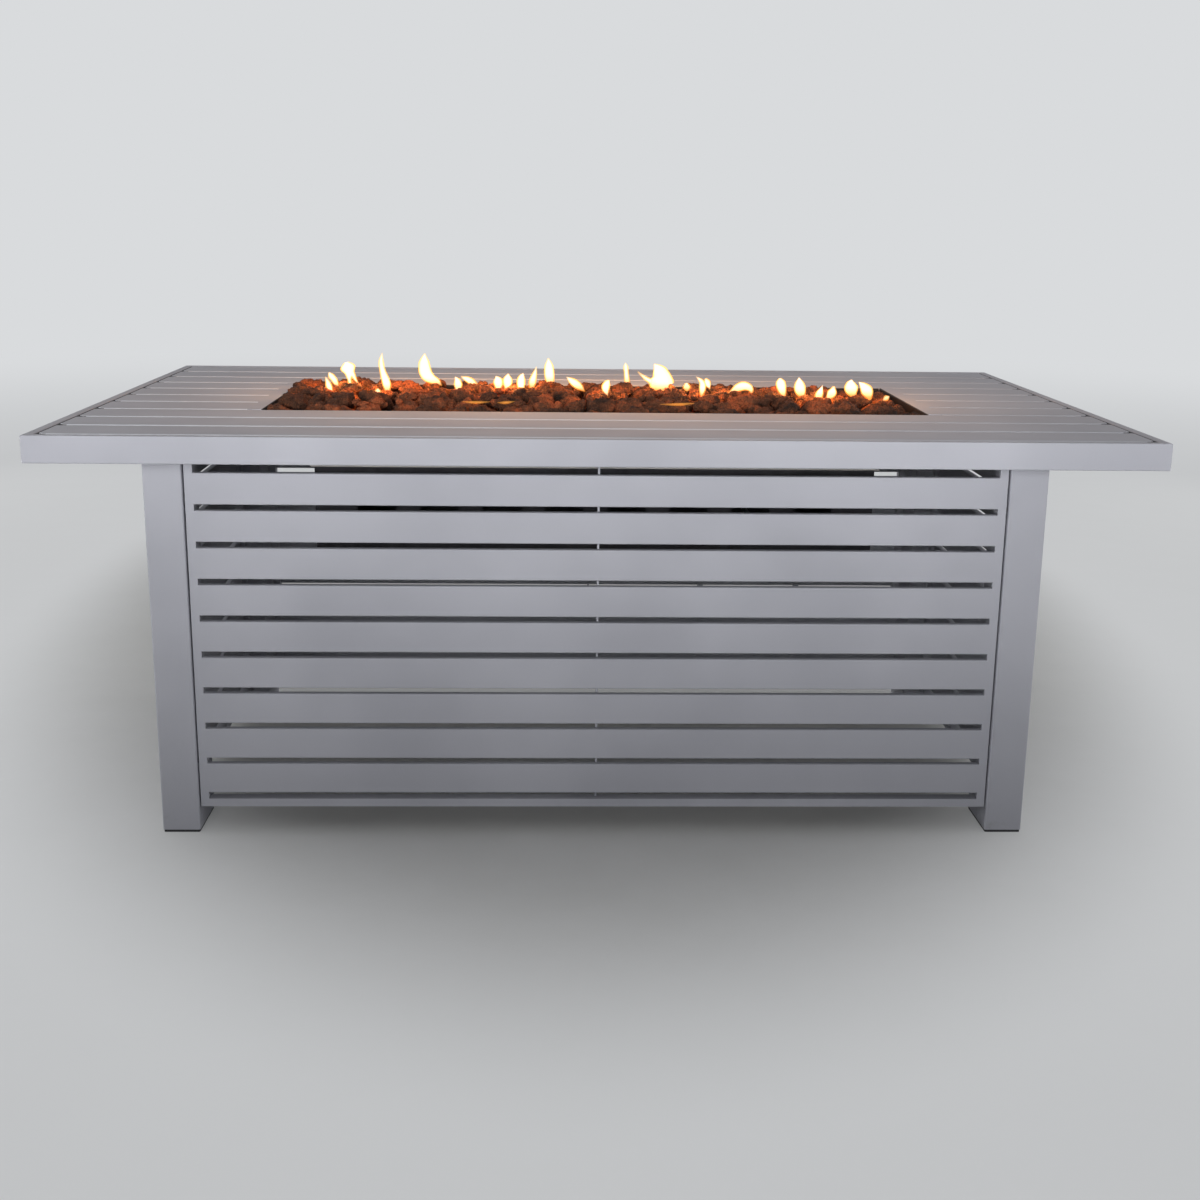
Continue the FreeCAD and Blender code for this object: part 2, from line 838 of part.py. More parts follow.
def doorCatch():
    strikeX = doorBackX - s.strikeThick
    middle = (s.panelFloorGap + doorTop) / 2
    latchEdge = s.doorLatchGap - legInnerY
    strike = newBody("strike_plate")
    face = newSketch(strike, "YZ_Plane", strikeX)
    addBox(face, latchEdge, latchEdge + s.frameBar, middle - s.catchHeight / 2,
           middle + s.catchHeight / 2)
    pad(strike, face, s.strikeThick)
    finish(strike, "strike_plate")
    catch = newBody("magnetic_catch")
    front = strikeX - s.clearFit
    case = newSketch(catch, "YZ_Plane", front)
    addBox(case, -legInnerY, s.catchWidth - legInnerY, middle - s.catchHeight / 2,
           middle + s.catchHeight / 2)
    shell = pad(catch, case, s.catchDepth, back=True)
    free = (s.catchWidth - legInnerY).value
    outer = longEdges(shell.Shape, Vector(1, 0, 0), lambda point: abs(point.y - free) < 1e-6)
    roundEdges(catch, shell, outer, s.catchRound)
    poles = newSketch(catch, "YZ_Plane", front)
    for side in (-1, 1):
        centre = middle + side * s.catchHeight / 4
        addBox(poles, s.poleInset - legInnerY, s.catchWidth - s.poleInset - legInnerY,
               centre - s.poleHeight / 2, centre + s.poleHeight / 2)
    pocket(catch, poles, s.poleGroove)
    finish(catch, "magnetic_catch")


doorCatch()


# Control plate: a folded pan in the rear panel's bay, with holes for valve, igniter and inlet.
# Like the rear panel it is drawn looking out to -Y and then turned half round.

bayMiddle = (bayFoot + slatsTop) / 2
controlLevel = bayMiddle + s.knobRise
inletLevel = bayMiddle - s.inletDrop
knobAt = s.knobAcross - s.bayCentre
buttonAt = -s.buttonAcross - s.bayCentre
inletAt = -s.inletAcross - s.bayCentre


def controlPlate():
    body = newBody("control_plate")
    left = bayLeft + s.bayGap
    right = bayRight - s.bayGap
    face = newSketch(body, "XZ_Plane")
    addBox(face, left, right, bayFoot, slatsTop)
    slab = pad(body, face, s.slatThick, back=True)
    rim = longEdges(slab.Shape, Vector(1, 0, 0), lambda point: abs(point.y) < 1e-6)
    rim += longEdges(slab.Shape, Vector(0, 0, 1), lambda point: abs(point.y) < 1e-6)
    roundEdges(body, slab, rim, s.plateRound)
    hollow = newSketch(body, "XZ_Plane", -s.plateThick)
    addBox(hollow, left + s.plateThick, right - s.plateThick, bayFoot + s.plateThick,
           slatsTop - s.plateThick)
    pocket(body, hollow, s.slatThick - s.plateThick)
    holes = newSketch(body, "XZ_Plane")
    addCircle(holes, knobAt, controlLevel, s.neckRadius + s.clearFit)
    addCircle(holes, buttonAt, controlLevel, s.igniterRadius + s.clearFit)
    addCircle(holes, inletAt, inletLevel, s.tailRadius + s.clearFit)
    pocket(body, holes)
    place(body, 0, panelFaceY, 0, 180)
    finish(body, "control_plate")


controlPlate()


# Each fitting on the control plate is drawn on its own axis, along Y, from the plate's face

def placeOnPlate(body, at, level):
    place(body, -at, panelFaceY, level, 180)


def addHexagon(sketch, across, along, flats):
    corner = flats / math.sqrt(3)
    ring = []
    for index in range(6):
        angle = math.radians(60 * index)
        ring.append((across + corner * math.cos(angle), along + corner * math.sin(angle)))
    addOutline(sketch, ring)


def gasValve():
    body = newBody("gas_valve")
    half = s.valveBlock / 2
    face = newSketch(body, "XZ_Plane", -s.plateThick)
    addBox(face, -half, half, -half, half)
    core = pad(body, face, s.valveLength, back=True)
    roundEdges(body, core, longEdges(core.Shape, Vector(0, 1, 0)), s.valveRound)
    neck = newSketch(body, "XZ_Plane", -s.plateThick)
    addCircle(neck, 0, 0, s.neckRadius)
    pad(body, neck, s.plateThick + s.nutThick + s.nutRoom)
    intake = newSketch(body, "YZ_Plane", -half)
    addCircle(intake, s.portBack, 0, s.portRadius)
    pad(body, intake, s.portLength, back=True)
    outlet = newSketch(body, "XY_Plane", -half)
    addCircle(outlet, 0, s.portBack, s.portRadius)
    pad(body, outlet, s.portLength, back=True)
    bore = newSketch(body, "XZ_Plane", s.nutThick + s.nutRoom)
    addCircle(bore, 0, 0, s.stemRadius + s.stemFit)
    pocket(body, bore, s.nutThick + s.nutRoom + s.stemDepth + s.clearFit)
    placeOnPlate(body, knobAt, controlLevel)
    finish(body, "gas_valve")


def valveStem():
    body = newBody("valve_stem")
    ring = newSketch(body, "XZ_Plane", s.stemReach)
    addCircle(ring, 0, 0, s.stemRadius)
    pad(body, ring, s.stemReach + s.stemDepth, back=True)
    flat = newSketch(body, "XZ_Plane", s.stemReach)
    addBox(flat, -s.stemRadius, s.stemRadius, s.stemRadius * 0.6, s.stemRadius)
    pocket(body, flat, s.stemReach * 0.5)
    placeOnPlate(body, knobAt, controlLevel)
    finish(body, "valve_stem")


def controlKnob():
    body = newBody("control_knob")
    back = -(s.knobTravel + s.knobAir)
    front = back - s.knobLength
    recess = back - s.nutThick - s.nutRoom
    outline = newSketch(body, "XY_Plane")
    grip = s.knobRadius * 0.74
    skirt = back - s.knobSkirt / 2
    room = s.nutFlats / math.sqrt(3) + s.nutRoom
    addOutline(outline, [(0, front), (grip - s.knobBevel, front), (grip, front + s.knobBevel),
                         (grip, back - s.knobSkirt), (s.knobRadius - s.knobBevel, skirt),
                         (s.knobRadius, skirt + s.knobBevel), (s.knobRadius, back), (room, back),
                         (room, recess), (0, recess)])
    revolve(body, outline, "V_Axis")
    flute = newSketch(body, "XZ_Plane", -front)
    addCircle(flute, 0, grip + s.gripRadius * 0.55, s.gripRadius)
    groove = pocket(body, flute, s.knobLength - s.knobSkirt)
    ring = body.newObject("PartDesign::PolarPattern", "gripRing")
    ring.Originals = [groove]
    ring.Axis = (flute, ["N_Axis"])
    ring.Angle = 360
    ring.setExpression("Occurrences", s.gripCount.text)
    body.Tip = ring
    doc.recompute()
    pointer = newSketch(body, "XZ_Plane", -front)
    addBox(pointer, -s.pointerWidth / 2, s.pointerWidth / 2, grip / 3, grip - s.knobBevel)
    pocket(body, pointer, s.pointerDepth)
    bore = newSketch(body, "XZ_Plane", s.stemReach + s.knobTravel + s.clearFit)
    addCircle(bore, 0, 0, s.stemRadius + s.stemFit)
    pocket(body, bore, s.stemReach + recess + s.knobTravel + s.clearFit)
    placeOnPlate(body, knobAt, controlLevel)
    finish(body, "control_knob")


def igniter():
    housing = newBody("igniter_housing")
    outline = newSketch(housing, "XY_Plane")
    bore = s.buttonRadius + s.buttonFit
    inner = s.buttonTravel * 2 + s.bezelBevel
    addOutline(outline, [(0, s.igniterLength), (s.igniterRadius, s.igniterLength), (s.igniterRadius, 0),
                         (s.bezelRadius, 0), (s.bezelRadius, s.bezelBevel - s.bezelLength),
                         (s.bezelRadius - s.bezelBevel, -s.bezelLength), (bore, -s.bezelLength),
                         (bore, inner),
                         (0, inner)])
    revolve(housing, outline, "V_Axis")
    placeOnPlate(housing, buttonAt, controlLevel)
    finish(housing, "igniter_housing")
    button = newBody("igniter_button")
    cap = newSketch(button, "XY_Plane")
    front = -(s.bezelLength + s.buttonTravel + s.bezelBevel)
    addOutline(cap, [(0, front), (s.buttonRadius - s.bezelBevel, front),
                     (s.buttonRadius, front + s.bezelBevel), (s.buttonRadius, s.buttonTravel),
                     (0, s.buttonTravel)])
    revolve(button, cap, "V_Axis")
    placeOnPlate(button, buttonAt, controlLevel)
    finish(button, "igniter_button")


def inletFitting():
    body = newBody("gas_inlet_fitting")
    outline = newSketch(body, "XY_Plane")
    shoulder = s.inletReach - s.noseLength
    addOutline(outline, [(0, -s.inletReach), (s.noseRadius, -s.inletReach),
                         (s.tailRadius, -shoulder), (s.inletRadius, -shoulder),
                         (s.inletRadius, 0), (s.tailRadius, 0),
                         (s.tailRadius, s.inletTail), (0, s.inletTail)])
    revolve(body, outline, "V_Axis")
    collar = newSketch(body, "XZ_Plane")
    addHexagon(collar, 0, 0, s.inletFlats)
    pad(body, collar, s.inletCollar)
    placeOnPlate(body, inletAt, inletLevel)
    finish(body, "gas_inlet_fitting")


def bulkheadNuts():
    body = newBody("bulkhead_nuts")
    outside = newSketch(body, "XZ_Plane")
    addHexagon(outside, knobAt, controlLevel, s.nutFlats)
    addCircle(outside, knobAt, controlLevel, s.neckRadius + s.clearFit / 2)
    pad(body, outside, s.nutThick)
    inside = newSketch(body, "XZ_Plane", -s.plateThick)
    for across, level, radius, wall in ((buttonAt, controlLevel, s.igniterRadius, s.igniterNutWall),
                                        (inletAt, inletLevel, s.tailRadius, s.tailNutWall)):
        addHexagon(inside, across, level, 2 * (radius + wall))
        addCircle(inside, across, level, radius + s.clearFit / 2)
    pad(body, inside, s.nutThick, back=True)
    place(body, 0, panelFaceY, 0, 180)
    finish(body, "bulkhead_nuts")


gasValve()
valveStem()
controlKnob()
igniter()
inletFitting()
bulkheadNuts()


# Fire tray: a folded stainless pan hung by its flange under the boards round the opening

trayX = s.openingLength / 2 - s.trayGap
trayY = openingDepth / 2 - s.trayGap
trayFoot = boardUnder - s.trayDepth
trayFloor = trayFoot + s.trayWall
shieldFoot = trayFoot - s.shieldDrop
screwLine = trayY + s.trayFlange / 2
screwPitch = s.openingLength / 5
electrodeX = s.hoodAcross - s.hoodSide / 5
thermoX = s.hoodAcross + s.hoodSide / 5
burnerAxis = trayFloor + s.burnerLift + s.burnerRadius
mixerTop = trayFoot - s.mixerDrop
mixerBase = mixerTop - s.mixerLength
pipeLevel = trayFoot - s.pipeDrop
gravelTop = s.tableHeight - s.gravelDrop


def fireTray():
    body = newBody("fire_tray")
    base = newSketch(body, "XY_Plane", trayFoot)
    addBox(base, -trayX, trayX, -trayY, trayY)
    pan = pad(body, base, s.trayDepth)
    roundEdges(body, pan, longEdges(pan.Shape, Vector(0, 0, 1)), s.trayRound)
    flange = newSketch(body, "XY_Plane", boardUnder - s.trayWall)
    addBox(flange, -trayX - s.trayFlange, trayX + s.trayFlange, -trayY - s.trayFlange,
           trayY + s.trayFlange)
    pad(body, flange, s.trayWall)
    hollow = newSketch(body, "XY_Plane", boardUnder)
    addBox(hollow, s.trayWall - trayX, trayX - s.trayWall, s.trayWall - trayY, trayY - s.trayWall)
    pocket(body, hollow, s.trayDepth - s.trayWall)
    holes = newSketch(body, "XY_Plane", trayFoot)
    addCircle(holes, 0, 0, s.dropRadius + s.clearFit)
    addCircle(holes, electrodeX, s.hoodBack, s.rodRadius + s.clearFit)
    addCircle(holes, thermoX, s.hoodBack, s.rodRadius + s.clearFit)
    for side in (-1, 1):
        for index in range(-2, 3):
            addCircle(holes, screwPitch * index, side * screwLine, s.screwRadius + s.clearFit)
    pocket(body, holes)
    finish(body, "fire_tray")


def trayScrews():
    body = newBody("tray_screws")
    heads = newSketch(body, "XY_Plane", boardUnder - s.trayWall)
    shanks = newSketch(body, "XY_Plane", boardUnder - s.trayWall)
    for side in (-1, 1):
        for index in range(-2, 3):
            addCircle(heads, screwPitch * index, side * screwLine, s.screwHead)
            addCircle(shanks, screwPitch * index, side * screwLine, s.screwRadius)
    pad(body, heads, s.screwRadius, back=True)
    pad(body, shanks, s.trayWall + s.boardWall + s.screwRadius)
    finish(body, "tray_screws")


fireTray()
trayScrews()


# Heat shield: a vented box under the tray, round the mixer and the ends of the pipes

def heatShield():
    body = newBody("heat_shield")
    halfX = s.shieldLength / 2
    halfY = s.shieldDepth / 2
    base = newSketch(body, "XY_Plane", shieldFoot)
    addBox(base, -halfX, halfX, -halfY, halfY)
    pad(body, base, s.shieldDrop)
    outX = halfX + s.shieldFlange
    outY = halfY + s.shieldFlange
    flange = newSketch(body, "XY_Plane", trayFoot)
    addBox(flange, -outX, outX, -outY, outY)
    pad(body, flange, s.trayWall, back=True)
    lip = newSketch(body, "XY_Plane", trayFoot)
    addBox(lip, -outX, outX, -outY, outY)
    addBox(lip, s.trayWall - outX, outX - s.trayWall, s.trayWall - outY, outY - s.trayWall)
    pad(body, lip, s.shieldLip, back=True)
    hollow = newSketch(body, "XY_Plane", trayFoot)
    addBox(hollow, s.trayWall - halfX, halfX - s.trayWall, s.trayWall - halfY, halfY - s.trayWall)
    pocket(body, hollow, s.shieldDrop - s.trayWall)
    vent = newSketch(body, "XZ_Plane")
    middle = shieldFoot + s.shieldDrop / 2
    first = (s.ventLength + s.ventGap) * (s.ventCount - 1) / 2
    addBox(vent, -first - s.ventLength / 2, s.ventLength / 2 - first, middle - s.ventHeight / 2,
           middle + s.ventHeight / 2)
    slot = pocket(body, vent)
    repeat(body, vent, "H_Axis", s.ventCount, s.ventLength + s.ventGap, [slot])
    holes = newSketch(body, "XZ_Plane")
    addCircle(holes, -knobAt, pipeLevel, s.pipeRadius + s.pipeRoom)
    addCircle(holes, -knobAt, controlLevel + s.leadStep, s.leadRadius + s.leadRoom)
    addCircle(holes, -buttonAt, controlLevel, s.leadRadius + s.leadRoom)
    pocket(body, holes, halfY + s.shieldFlange)
    finish(body, "heat_shield")


heatShield()


# Burner: two capped tubes joined by a cross tube, fed from below through the tray

def tubes(name, grow, foot):
    long = s.burnerLength + 2 * grow
    half = s.burnerSpread / 2
    pieces = [rod(name + "Cross", "y", s.crossRadius + grow, s.burnerSpread, 0, -half, burnerAxis),
              rod(name + "Drop", "z", s.dropRadius + grow, burnerAxis - foot, 0, 0, foot)]
    for side in (-1, 1):
        pieces.append(rod(name + "Long", "x", s.burnerRadius + grow, long, -long / 2, side * half,
                          burnerAxis))
    return pieces


def burnerFeet(name, grow):
    halfX = s.footWidth / 2 + grow
    halfY = s.footWidth / 4 + grow
    feet = []
    for sideX in (-1, 1):
        for sideY in (-1, 1):
            centreX = sideX * (s.burnerLength / 2 - s.footInset)
            centreY = sideY * s.burnerSpread / 2
            feet.append(block(name, (centreX - halfX, centreX + halfX),
                              (centreY - halfY, centreY + halfY), (trayFloor, burnerAxis)))
    return feet


def burner():
    foot = mixerTop - s.mixerSocket
    outer = joined("burnerOuter", tubes("outer", asSize(0), foot) + burnerFeet("foot", asSize(0)))
    hollow = tubes("bore", -s.burnerWall, foot - s.burnerWall)
    for side in (-1, 1):
        for index in range(int(s.portCount.value)):
            across = s.portPitch * index - s.portPitch * (s.portCount - 1) / 2
            hollow.append(rod("port", "z", s.flamePortRadius, s.burnerRadius * 2, across,
                              side * s.burnerSpread / 2, burnerAxis))
    finish(less("burner", outer, joined("burnerBores", hollow)), "burner")


burner()


# Gas and air mixer under the tray, turned from brass

def airMixer():
    body = newBody("air_mixer")
    outline = newSketch(body, "XZ_Plane")
    socket = s.dropRadius + s.clearFit
    wall = socket + s.mixerWall
    collar = wall + s.mixerCollar
    base = mixerBase
    seat = mixerTop - s.mixerSocket
    shoulder = mixerTop - s.mixerCollarLength
    addOutline(outline, [(s.nozzleRadius, base), (2 * s.pipeRadius, base),
                         (2 * s.pipeRadius, base + s.mixerBaseLength), (wall, seat - s.mixerBaseLength),
                         (wall, shoulder - s.mixerCollar), (collar, shoulder), (collar, mixerTop),
                         (socket, mixerTop), (socket, seat), (s.nozzleRadius, seat)])
    revolve(body, outline, "V_Axis")
    holes = newSketch(body, "XZ_Plane")
    addCircle(holes, 0, base + s.airHoleLevel, s.pipeRadius)
    pocket(body, holes)
    finish(body, "air_mixer")


airMixer()


# Igniter electrode and thermocouple under a small pierced hood

def rodWithCollar(name, across):
    stub = trayFoot - s.rodDrop
    top = trayFloor + s.rodRise
    pieces = [rod(name + "Body", "z", s.rodRadius, top - stub, across, s.hoodBack, stub),
              rod(name + "Collar", "z", s.rodRadius + s.rodCollar, s.rodCollar, across, s.hoodBack,
                  trayFloor),
              rod(name + "Tip", "z", s.tipRadius, s.rodTip, across, s.hoodBack, top)]
    finish(joined(name, pieces), name)


rodWithCollar("spark_electrode", electrodeX)
rodWithCollar("thermocouple", thermoX)


def hoodBox(name, inset, foot, top):
    half = s.hoodSide / 2 - inset
    return block(name, (s.hoodAcross - half, s.hoodAcross + half), (s.hoodBack - half, s.hoodBack + half),
                 (foot, top))


def pilotHood():
    cuts = [hoodBox("hoodInner", s.hoodWall, trayFoot, gravelTop - s.hoodWall)]
    for row in range(1, 4):
        for column in range(-1, 2):
            cuts.append(rod("window", "y", s.windowRadius, 2 * s.hoodSide,
                            s.hoodAcross + column * s.windowPitch, s.hoodBack - s.hoodSide,
                            trayFloor + row * s.windowPitch))
    finish(less("pilotHood", hoodBox("hoodOuter", asSize(0), trayFloor, gravelTop),
                joined("hoodCuts", cuts)), "pilot_hood")


pilotHood()


# Lava gravel: one level layer round the burner and hood

bedX = trayX - s.trayWall - s.clearFit
bedY = trayY - s.trayWall - s.clearFit
bed = block("gravelBlock", (-bedX, bedX), (-bedY, bedY), (trayFloor, gravelTop))
room = tubes("room", s.clearFit, trayFoot) + burnerFeet("footRoom", s.clearFit)
room.append(hoodBox("hoodRoom", -s.clearFit, trayFoot, s.tableHeight))
finish(less("gravel", bed, joined("gravelRoom", room)), "lava_gravel")


# Lava rocks: uneven twenty-sided lumps, one for each cell of a grid across the opening

def rockFaces():
    golden = (1 + math.sqrt(5)) / 2
    corners = []
    for first in (-1, 1):
        for second in (-golden, golden):
            corners += [Vector(0, first, second), Vector(first, second, 0), Vector(second, 0, first)]
    faces = []
    for one in range(12):
        for two in range(one + 1, 12):
            for three in range(two + 1, 12):
                trio = [corners[one], corners[two], corners[three]]
                sides = [(trio[i] - trio[i - 1]).Length for i in range(3)]
                if max(sides) < 2.1:
                    faces.append((one, two, three))
    return [corner.normalize() for corner in corners], faces


def lavaRocks():
    corners, faces = rockFaces()
    chance = random.Random(7)
    columns = int(s.rockColumns.value)
    lines = int(s.rockLines.value)
    cellX = 2 * bedX.value / columns
    cellY = 2 * bedY.value / lines
    full = (s.tableHeight + s.rockRise - gravelTop).value
    rocks = []
    for column in range(columns):
        for line in range(lines):
            centre = Vector((column + 0.5) * cellX - bedX.value, (line + 0.5) * cellY - bedY.value, 0)
            inner = min(line, lines - 1 - line) / (lines / 2 - 1)
            high = full * (0.72 + 0.2 * inner + 0.08 * chance.random())
            turn = Rotation(Vector(0, 0, 1), chance.uniform(0, 360))
            points = []
            for corner in corners:
                lump = turn.multVec(corner) * chance.uniform(0.86, 1)
                points.append(Vector(lump.x * cellX / 2, lump.y * cellY / 2, lump.z))
            low = min(point.z for point in points)
            span = max(point.z for point in points) - low
            for point in points:
                point.z = gravelTop.value + (point.z - low) / span * high
                point.x += centre.x
                point.y += centre.y
            skin = [Part.Face(Part.makePolygon([points[i] for i in face + face[:1]])) for face in faces]
            rock = Part.Solid(Part.Shell(skin))
            if rock.Volume < 0:
                rock.reverse()
            rocks.append(rock)
    shaped("lava_rocks", Part.makeCompound(rocks))


lavaRocks()


# Gas pipes and igniter leads, held inside the base all the way

def at(x, y, z):
    return Vector(asSize(x).value, asSize(y).value, asSize(z).value)


portY = panelFaceY - s.portBack
outletFoot = controlLevel - s.valveBlock / 2 - s.portLength
shaped("supply_pipe", pipeAlong(
    [at(-knobAt, portY, outletFoot), at(-knobAt, portY, pipeLevel), at(-knobAt, 0, pipeLevel),
     at(0, 0, pipeLevel), at(0, 0, mixerBase)],
    [s.pipeBend.value, s.longBend.value, s.pipeBend.value], s.pipeRadius.value))
shaped("inlet_pipe", pipeAlong(
    [at(-inletAt, panelFaceY - s.inletTail, inletLevel), at(-inletAt, portY, inletLevel),
     at(-inletAt, portY, controlLevel),
     at(-(knobAt - s.valveBlock / 2 - s.portLength), portY, controlLevel)],
    [s.smallBend.value, s.smallBend.value], s.pipeRadius.value))
leads = []
for startX, endX, level, end in (
        (electrodeX, -buttonAt, controlLevel, panelFaceY - s.igniterLength),
        (thermoX, -knobAt, controlLevel + s.leadStep, panelFaceY - s.plateThick - s.valveLength)):
    leads.append(pipeAlong(
        [at(startX, s.hoodBack, trayFoot - s.rodDrop), at(startX, s.hoodBack, level),
         at(endX, s.hoodBack, level), at(endX, end, level)],
        [s.leadBend.value, s.leadBend.value], s.leadRadius.value))
shaped("sensor_leads", Part.makeCompound(leads))


# Check every object, then write one file for each piece

doc.recompute()
for item in doc.Objects:
    if "Invalid" in item.State or "Error" in item.State:
        raise RuntimeError("%s is not sound: %s" % (item.Name, item.State))
for item in parts:
    if item.Shape.isNull() or not item.Shape.isValid() or not item.Shape.Solids:
        raise RuntimeError("%s has no sound shape" % item.Label)

os.makedirs("parts", exist_ok=True)
for item in parts:
    item.Shape.exportStep("parts/%s.step" % item.Label)
print("%d parts written" % len(parts))
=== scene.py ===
import bmesh
import bpy
import math
import random

from mathutils import Matrix, Vector


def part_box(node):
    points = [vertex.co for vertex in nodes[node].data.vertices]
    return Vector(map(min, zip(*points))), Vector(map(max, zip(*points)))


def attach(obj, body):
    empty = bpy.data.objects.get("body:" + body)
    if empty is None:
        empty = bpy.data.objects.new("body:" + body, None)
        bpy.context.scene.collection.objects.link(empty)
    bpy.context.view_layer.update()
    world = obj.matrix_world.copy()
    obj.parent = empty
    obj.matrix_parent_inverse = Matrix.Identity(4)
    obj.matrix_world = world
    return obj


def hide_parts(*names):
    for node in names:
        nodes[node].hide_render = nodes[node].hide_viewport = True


# Looks of the fire pit table, in metres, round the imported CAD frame.
# +X runs along the table, +Y to the back, +Z up, and the floor is z = 0.

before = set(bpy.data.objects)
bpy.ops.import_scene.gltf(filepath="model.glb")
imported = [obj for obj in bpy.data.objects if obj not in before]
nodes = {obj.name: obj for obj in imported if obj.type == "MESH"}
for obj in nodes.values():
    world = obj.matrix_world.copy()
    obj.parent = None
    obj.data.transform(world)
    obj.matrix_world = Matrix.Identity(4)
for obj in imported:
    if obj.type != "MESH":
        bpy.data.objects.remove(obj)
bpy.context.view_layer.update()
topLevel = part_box("top_board_front_1")[1].z
print("frame loaded:", len(nodes), "nodes")


# Small helpers for modelling

hair = 0.0001  # places nearer to each other than this are the same place
smoothUnder = 32  # degrees: a sharper edge keeps its crease


def startFresh():
    if bpy.context.mode != "OBJECT":
        bpy.ops.object.mode_set(mode="OBJECT")
    bpy.ops.object.select_all(action="DESELECT")


def pickOnly(*pieces):
    startFresh()
    for piece in pieces:
        piece.select_set(True)
    bpy.context.view_layer.objects.active = pieces[0]


def applyPlace(piece):
    pickOnly(piece)
    bpy.ops.object.transform_apply(location=True, rotation=True, scale=True)


def applyModifier(piece, kind, **settings):
    modifier = piece.modifiers.new(kind.lower(), kind)
    for key, value in settings.items():
        setattr(modifier, key, value)
    bpy.ops.object.modifier_apply(modifier=modifier.name)


def pickEdges(piece, wanted):
    bpy.context.view_layer.objects.active = piece
    bpy.ops.object.mode_set(mode="EDIT")
    bpy.ops.mesh.select_mode(type="EDGE")
    bpy.ops.mesh.select_all(action="DESELECT")
    shape = bmesh.from_edit_mesh(piece.data)
    for edge in shape.edges:
        edge.select_set(wanted(edge.verts[0].co, edge.verts[1].co))
    bmesh.update_edit_mesh(piece.data)


def bevelPicked(offset, segments, fullness=0.5):
    bpy.ops.mesh.bevel(offset=offset, segments=segments, profile=fullness, affect="EDGES")
    bpy.ops.object.mode_set(mode="OBJECT")


def smoothShade(piece):
    pickOnly(piece)
    bpy.ops.object.shade_smooth_by_angle(angle=math.radians(smoothUnder))


def joinAll(pieces, name):
    pickOnly(*pieces)
    bpy.ops.object.join()
    joinedPiece = bpy.context.active_object
    joinedPiece.name = name
    joinedPiece.data.name = name
    return joinedPiece


def dress(piece, finish):
    piece.data.materials.clear()
    piece.data.materials.append(finish)


# Shader arithmetic: a socket that can be added, multiplied and compared

class Wire:
    def __init__(self, maker, socket):
        self.maker = maker
        self.socket = socket

    def maths(self, operation, *parts):
        return self.maker.node("ShaderNodeMath", {"operation": operation}, dict(enumerate(parts)))

    def __add__(self, other):
        return self.maths("ADD", self, other)

    def __radd__(self, other):
        return self.maths("ADD", other, self)

    def __sub__(self, other):
        return self.maths("SUBTRACT", self, other)

    def __rsub__(self, other):
        return self.maths("SUBTRACT", other, self)

    def __mul__(self, other):
        return self.maths("MULTIPLY", self, other)

    def __rmul__(self, other):
        return self.maths("MULTIPLY", other, self)

    def __pow__(self, other):
        return self.maths("POWER", self, other)

    def size(self):
        return self.maths("ABSOLUTE", self)

    def cosine(self):
        return self.maths("COSINE", self)

    def angleOver(self, other):
        return self.maths("ARCTAN2", self, other)

    def highest(self, other):
        return self.maths("MAXIMUM", self, other)

    def between(self, low, high):
        settings = {"interpolation_type": "SMOOTHSTEP"}
        return self.maker.node("ShaderNodeMapRange", settings, {0: self, 1: low, 2: high})


# One material, or the world, being built. node() adds any node: its type, its settings, its inputs.

